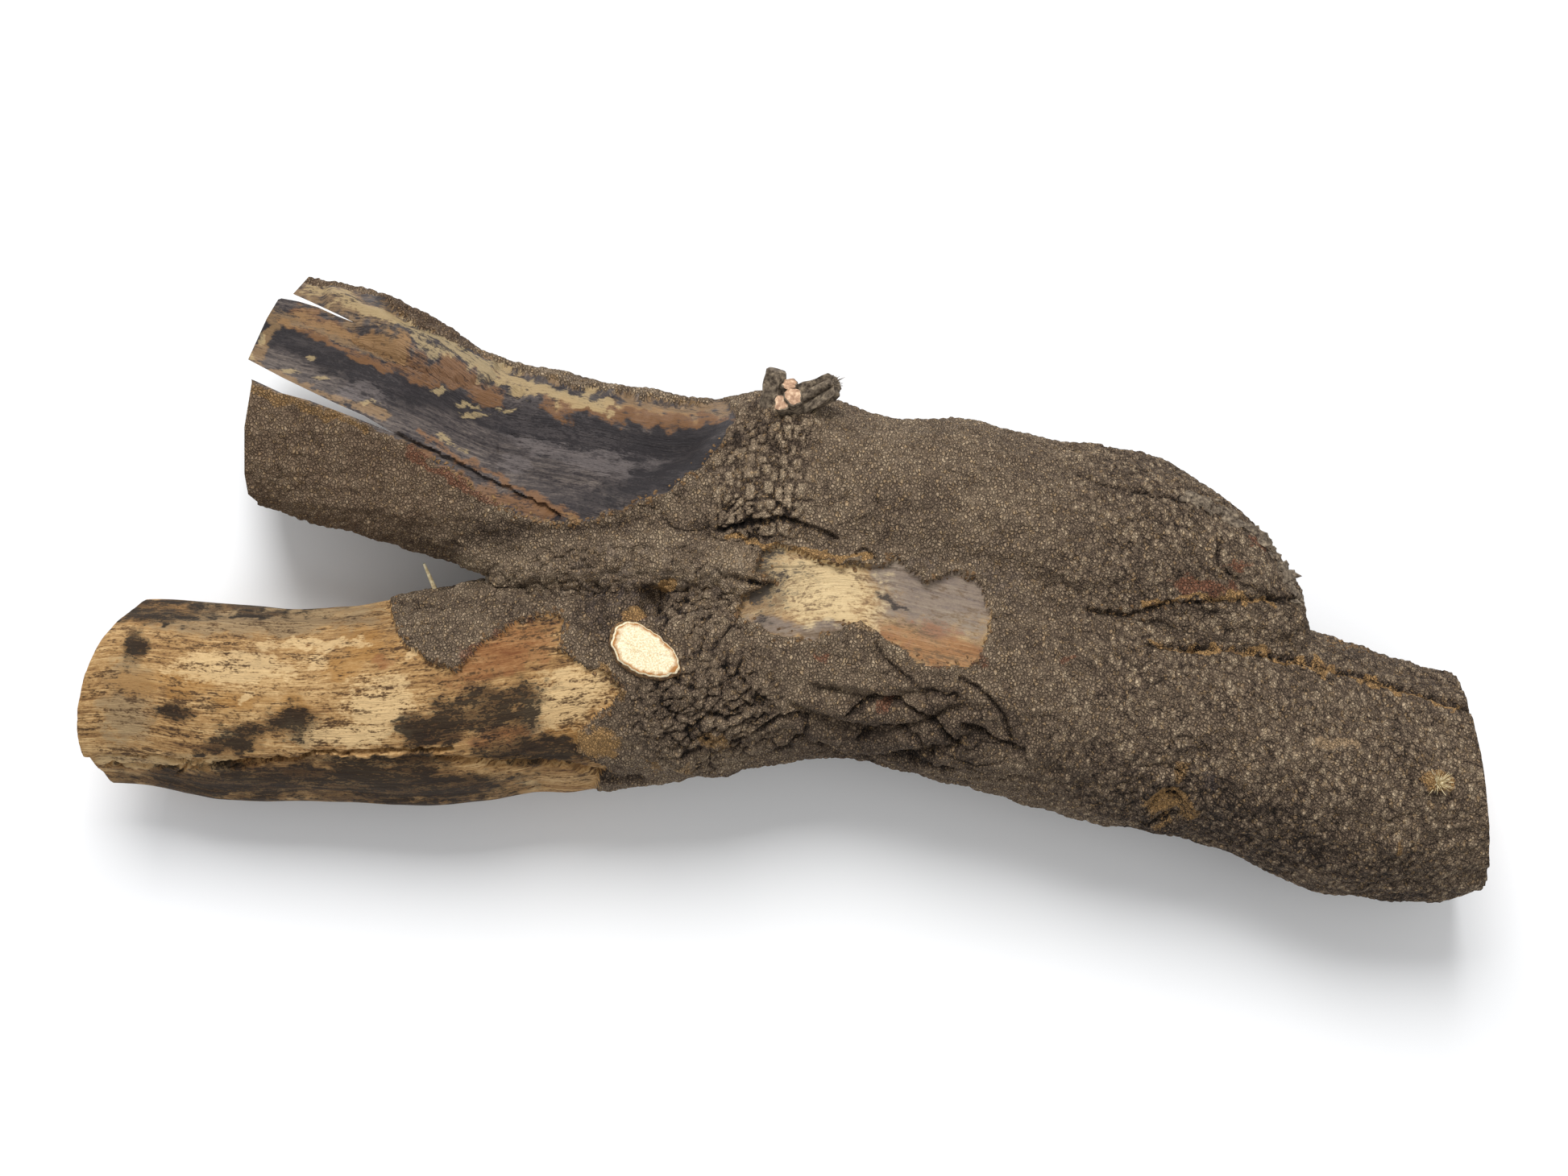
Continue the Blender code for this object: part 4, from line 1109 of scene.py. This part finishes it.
def finish_piece(piece, whole, tree, finishes):
    """Give a share of the wood its marks, its finishes and its place on the frame."""
    mesh = piece.data
    values = mend(mesh, whole, tree)
    skin = Skin(values["home"], values["facing"])
    for name in ("home", "facing", "relief", "kept"):
        mesh.attributes.remove(mesh.attributes[name])
    lay_marks(piece, skin, values["relief"])

    count = len(mesh.polygons)
    start = np.empty(count, np.int32)
    size = np.empty(count, np.int32)
    mesh.polygons.foreach_get("loop_start", start)
    mesh.polygons.foreach_get("loop_total", size)
    corner = np.empty(len(mesh.loops), np.int32)
    mesh.loops.foreach_get("vertex_index", corner)

    def of_faces(values):
        return np.add.reduceat(values[corner], start) / size

    finish = np.full(count, BARK, np.int32)
    finish[of_faces(skin.limb) > 0.5] = LIMB
    finish[of_faces(skin.branch) > 0.5] = TROUGH
    finish[of_faces(skin.scar) > 0.5] = SCAR
    normals = np.empty(count * 3, np.float32)
    centres = np.empty(count * 3, np.float32)
    mesh.polygons.foreach_get("normal", normals)
    mesh.polygons.foreach_get("center", centres)
    normals, centres = normals.reshape(-1, 3), centres.reshape(-1, 3) / MM
    for number, (point, direction) in ((LIMB_END, LEFT_CUT), (THICK_END, RIGHT_CUT)):
        away = np.array(direction) / np.linalg.norm(direction)
        flat = np.abs((centres - HOME - point) @ away) < 0.2
        finish[flat & (normals @ away > 0.95)] = number
    wall = np.abs(normals @ FORWARD) < 0.2
    for number, outline in ((SPLIT_WALL, LOWER_SPLIT), (SPLIT_WALL, UPPER_SPLIT), (BRANCH_END, BRANCH_CUT)):
        finish[wall & (line_distance(seen(centres), outline + outline[:1]) < 0.3)] = number

    mesh.materials.clear()
    for material in finishes:
        mesh.materials.append(material)
    mesh.polygons.foreach_set("material_index", finish)
    mesh.shade_smooth()
    mesh.set_sharp_from_angle(angle=math.radians(60))
    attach(piece, "root")
    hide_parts("driftwood")


def dress_wood():
    """Grow, weather, saw and share out the wood, and give each piece its finish."""
    wood = grown_wood()
    weather(wood)
    whole = {name: read(wood.data, name, width)
             for name, width in (("home", 3), ("facing", 1), ("relief", 1))}
    points = read(wood.data, "co")
    tree = KDTree(len(points))
    for index, point in enumerate(points):
        tree.insert(point, index)
    tree.balance()
    saw_and_split(wood)
    find = surface_finder(wood)
    finishes = [make() for make in FINISHES]
    for piece in share_out(wood).values():
        finish_piece(piece, whole, tree, finishes)
    bpy.data.objects.remove(wood)
    small_pieces(find)


def surface_finder(wood):
    """A function that gives the point and the normal that the eye sees at a plan place, if any."""
    tree = BVHTree.FromObject(wood, bpy.context.evaluated_depsgraph_get())

    def find(place):
        point, normal, _, _ = tree.ray_cast(Vector(EYE * MM), Vector(sight_line(place)).normalized())
        return point and (np.array(point) / MM, np.array(normal))

    return find


def add_piece(name, bm, materials, smooth=40):
    """Finish a small piece: its mesh, its materials and its place on the frame."""
    piece = add_object(name, mesh_from(name, bm))
    for material in materials:
        piece.data.materials.append(material)
    piece.data.shade_smooth()
    piece.data.set_sharp_from_angle(angle=math.radians(smooth))
    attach(piece, "root")
    return piece


def cap_of(made):
    """The face that an extrusion or an inset moved."""
    return next(item for item in made if isinstance(item, bmesh.types.BMFace))


def pull(bm, face, move, scale, wobble=0.0, seed=0):
    """Extrude a cap along a move, scale it about its middle and make its rim uneven."""
    made = bmesh.ops.extrude_face_region(bm, geom=[face])["geom"]
    bmesh.ops.delete(bm, geom=[face], context="FACES_ONLY")
    cap = cap_of(made)
    verts = list(cap.verts)
    bmesh.ops.translate(bm, verts=verts, vec=Vector(move) * MM)
    middle = cap.calc_center_median()
    for vert in verts:
        uneven = wobble * noise.noise(vert.co / (3 * MM) + Vector((seed, 0, 0)))
        vert.co = middle + (vert.co - middle) * (scale + uneven)
    return cap


def sawn_knot(find, face_wood, collar):
    """The stump of a side branch, sawn just proud of the bark, with an uneven oval face."""
    point, normal = find(SAWN_KNOT)
    normal = normal * 0.4 + (EYE - point) / np.linalg.norm(EYE - point) * 0.6
    normal /= np.linalg.norm(normal)
    turn = math.radians(SAWN_KNOT_TURN)
    long_way = math.cos(turn) * RIGHT + math.sin(turn) * UP
    short_way = np.cross(normal, long_way)
    long_way = np.cross(short_way, normal)
    axes = Matrix((long_way, short_way, normal)).transposed().to_4x4()
    bm = bmesh.new()
    bmesh.ops.create_circle(bm, cap_ends=True, segments=KNOT_SIDES, radius=1)
    for vert in bm.verts:
        angle = math.atan2(vert.co.y, vert.co.x)
        uneven = 1 + 0.07 * math.cos(2 * angle + 0.9) + 0.05 * math.cos(3 * angle - 0.6)
        vert.co *= uneven + 0.015 * math.cos(9 * angle)
    low = Matrix.Translation(Vector(point - normal * KNOT_ROOT) * MM)
    long_radius, short_radius = SAWN_KNOT_RADII
    oval = Matrix.Diagonal((long_radius * MM, short_radius * MM, MM, 1))
    bmesh.ops.transform(bm, matrix=low @ axes @ oval, verts=bm.verts)
    bm.faces.ensure_lookup_table()
    cap = bm.faces[0]
    bmesh.ops.duplicate(bm, geom=[cap])
    cap = pull(bm, cap, normal * (KNOT_ROOT + 0.6), 1.04, 0.05)
    cap = pull(bm, cap, normal * 1.6, 0.93, 0.05, 3)
    ring = bm.verts.layers.float.new("ring")
    share = 1.0
    for step in KNOT_RINGS:
        cap = pull(bm, cap, normal * (0.9 if step == KNOT_RINGS[0] else 0.05), step, 0.0)
        share *= step
        for vert in cap.verts:
            vert[ring] = share
            vert.co += Vector(normal) * MM * 0.35 * noise.noise(vert.co / (2.2 * MM))
    for face in bm.faces:
        face.material_index = int(max(vert[ring] for vert in face.verts) == 0.0)
    bmesh.ops.remove_doubles(bm, verts=bm.verts, dist=0.01 * MM)
    add_piece("sawn_knot", bm, (face_wood, collar))


def twig(name, place, end, rise, root_radius, tip_radius, find, materials, lumpy=0.12):
    """A short crooked twig rooted in the wood, with a sawn or broken face at its tip."""
    point, normal = find(place)
    reach = at_height(end, point[2] + rise) - point
    axis = reach / np.linalg.norm(reach)
    root = point - (axis + normal) * TWIG_SINK
    length = np.linalg.norm(point + reach - root)
    bm = bmesh.new()
    turn = Vector(axis).to_track_quat("Z", "Y").to_matrix().to_4x4()
    bmesh.ops.create_circle(bm, cap_ends=True, segments=TWIG_SIDES, radius=root_radius * MM * 1.15,
                            matrix=Matrix.Translation(Vector(root) * MM) @ turn)
    bm.faces.ensure_lookup_table()
    bottom = bm.faces[0]
    bmesh.ops.duplicate(bm, geom=[bottom])
    cap = bottom
    toward = (point + reach - root) / length
    shrink = (tip_radius / root_radius / 1.15) ** (1 / TWIG_STEPS)
    for step in range(TWIG_STEPS):
        sway = 0.35 * math.sin(step * 1.7 + root_radius)
        side = np.cross(toward, normal) * sway
        cap = pull(bm, cap, toward * length / TWIG_STEPS + side * (step > 1), shrink, lumpy, step * 3.1)
    cap = pull(bm, cap, toward * 0.5, 0.86)
    cap.material_index = 1
    inner = pull(bm, cap, toward * 0.15, 0.55, 0.1)
    pull(bm, inner, toward * -0.3, 0.4)
    sawn_at = Vector(root + toward * (length + 0.45)).dot(Vector(toward)) * MM
    for face in bm.faces:
        if face.calc_center_median().dot(Vector(toward)) > sawn_at:
            face.material_index = 1
    bmesh.ops.remove_doubles(bm, verts=bm.verts, dist=0.01 * MM)
    return add_piece(name, bm, materials)


def splinters(name, middle, lean, spread, count, length, radius, material, seed):
    """A tuft of torn fibres that stand out from one place."""
    chance = random.Random(seed)
    bm = bmesh.new()
    for _ in range(count):
        toss = Vector([chance.uniform(-1, 1) for _ in range(3)])
        way = (Vector(lean) + toss * 0.75).normalized()
        start = Vector(middle) + toss * spread
        long = length * chance.uniform(0.45, 1.0)
        turn = way.to_track_quat("Z", "Y").to_matrix().to_4x4()
        turn = turn @ Matrix.Rotation(chance.uniform(0, 3), 4, "Z")
        bmesh.ops.create_cone(
            bm, cap_ends=True, segments=5, radius1=radius * MM * chance.uniform(0.6, 1.2),
            radius2=radius * MM * 0.15, depth=long * MM,
            matrix=Matrix.Translation((start + way * long * 0.35) * MM) @ turn)
    return add_piece(name, bm, (material,), 80)


def crumbs(name, find, lines, count, sizes, material, slot, seed):
    """Crumbs of torn bark strewn along the edges where bark gives way to bare wood."""
    chance = random.Random(seed)
    bm = bmesh.new()
    for _ in range(count):
        line = chance.choice(lines)
        start, end = chance.choice(list(zip(line[:-1], line[1:])))
        share = chance.random()
        place = [a + (b - a) * share + chance.gauss(0, 1.6) for a, b in zip(start, end)]
        found = find(place)
        if not found:
            continue
        point, normal = found
        size = chance.uniform(*sizes)
        shape = Matrix.Diagonal((size * chance.uniform(0.8, 1.7), size, size * 0.55, 1 / MM)) * MM
        turn = Vector(normal).to_track_quat("Z", "Y").to_matrix().to_4x4()
        turn = turn @ Matrix.Rotation(chance.uniform(0, 3), 4, "Z")
        ball = bmesh.ops.create_icosphere(
            bm, subdivisions=1, radius=1, matrix=Matrix.Translation(Vector(point) * MM) @ turn @ shape)
        for vert in ball["verts"]:
            vert.co += (vert.co - Vector(point) * MM) * 0.9 * noise.noise(vert.co / (1.1 * MM))
    return add_piece(name, bm, (material,))


def small_pieces(find):
    """The sawn knot, the twigs in the crotch, the torn fibres and the crumbs of bark."""
    fresh, pink, bark, fibre, crumb = (
        fresh_sawn_wood(), pink_sawn_twig(), twig_bark(), torn_fibre(), bark_crumb())
    sawn_knot(find, fresh, crumb)
    for name, (place, end, rise, root_radius, tip_radius) in TWIGS.items():
        tip = pink if name.startswith("sawn") else bark
        side = fibre if name == "crotch_thorn" else bark
        twig(name, place, end, rise, root_radius, tip_radius, find, (side, tip),
             0.3 if name == "lumpy_stub" else 0.12)
    point, normal = find((350, -104))
    splinters("torn_branch_fibres", point, normal * 0.3 + (0.35, 0.1, 0), 2.0, 90, 7, 0.42, fibre,
              5)
    root, end, rise, _, _ = TWIGS["lumpy_stub"]
    tip = at_height(end, find(root)[0][2] + rise)
    splinters("frayed_stub", tip, (1, 0.2, 0.1), 2.2, 22, 4.5, 0.4, bark, 6)
    lines = [CENTRE_SCAR + CENTRE_SCAR[:1], LIMB_BARE[1:17], BRANCH_BARE[10:20]]
    crumbs("bark_crumbs", find, lines, 420, (0.4, 1.2), crumb, "bark", 8)
    cracks_at = [CRACKS["end_crack"][0][:-1], CRACKS["stub_crack"][0][:-1], [(290, -28), (318, -34)]]
    crumbs("crack_crumbs", find, cracks_at, 130, (0.4, 1.1), crumb, "bark", 9)
    crumbs("stub_flakes", find, [STUB_EDGE], 150, (1.2, 3.2), bark, "bark", 10)


# The studio: half the floor's width in metres, the sky's strength, and each lamp's place in
# metres, width and power.
FLOOR_HALF = 7
SKY_STRENGTH = 0.54
LAMPS = {
    "key": ((-0.15, 1.15, 1.9), 1.0, 44),
    "fill": ((0.9, -0.6, 2.1), 1.6, 6),
}


def stage():
    """A plain pale floor, soft studio light from above and behind, and the camera."""
    bm = bmesh.new()
    bmesh.ops.create_grid(bm, x_segments=48, y_segments=48, size=FLOOR_HALF)
    floor = add_object("floor", mesh_from("floor", bm))
    material, tree, shader = new_material("pale_paper_floor", 0.85, 0.2)
    mottle = add(tree, "TexNoise", "Fac", {"Vector": add(tree, "TexCoord", "Object"), "Scale": 2})
    colour = add(tree, "ValToRGB", "Color", {0: mottle}, stops=((0.3, "f0f1f3"), (0.7, "f4f5f6")))
    tree.links.new(colour, shader.inputs["Base Color"])
    floor.data.materials.append(material)

    world = bpy.data.worlds.new("studio")
    bpy.context.scene.world = world
    world.use_nodes = True
    sky = world.node_tree.nodes["Background"]
    sky.inputs["Color"].default_value = (1, 1, 1, 1)
    sky.inputs["Strength"].default_value = SKY_STRENGTH

    middle = Vector((0, 0, 0.06))
    for name, (place, size, power) in LAMPS.items():
        lamp = bpy.data.lights.new(name, "AREA")
        lamp.size = size
        lamp.energy = power
        lamp_object = bpy.data.objects.new(name, lamp)
        bpy.context.scene.collection.objects.link(lamp_object)
        lamp_object.location = place
        lamp_object.rotation_euler = (middle - Vector(place)).to_track_quat("-Z", "Y").to_euler()

    camera = bpy.data.cameras.new("camera")
    camera.sensor_width = SENSOR_MM
    camera.lens = SENSOR_MM * SIGHT / PHOTO_WIDTH_MM
    camera.clip_start, camera.clip_end = 0.05, 60
    viewer = bpy.data.objects.new("camera", camera)
    bpy.context.scene.collection.objects.link(viewer)
    viewer.location = EYE * MM
    viewer.rotation_euler = Vector(FORWARD).to_track_quat("-Z", "Y").to_euler()
    bpy.context.scene.camera = viewer
    bpy.context.scene.view_settings.view_transform = "Standard"


dress_wood()
stage()
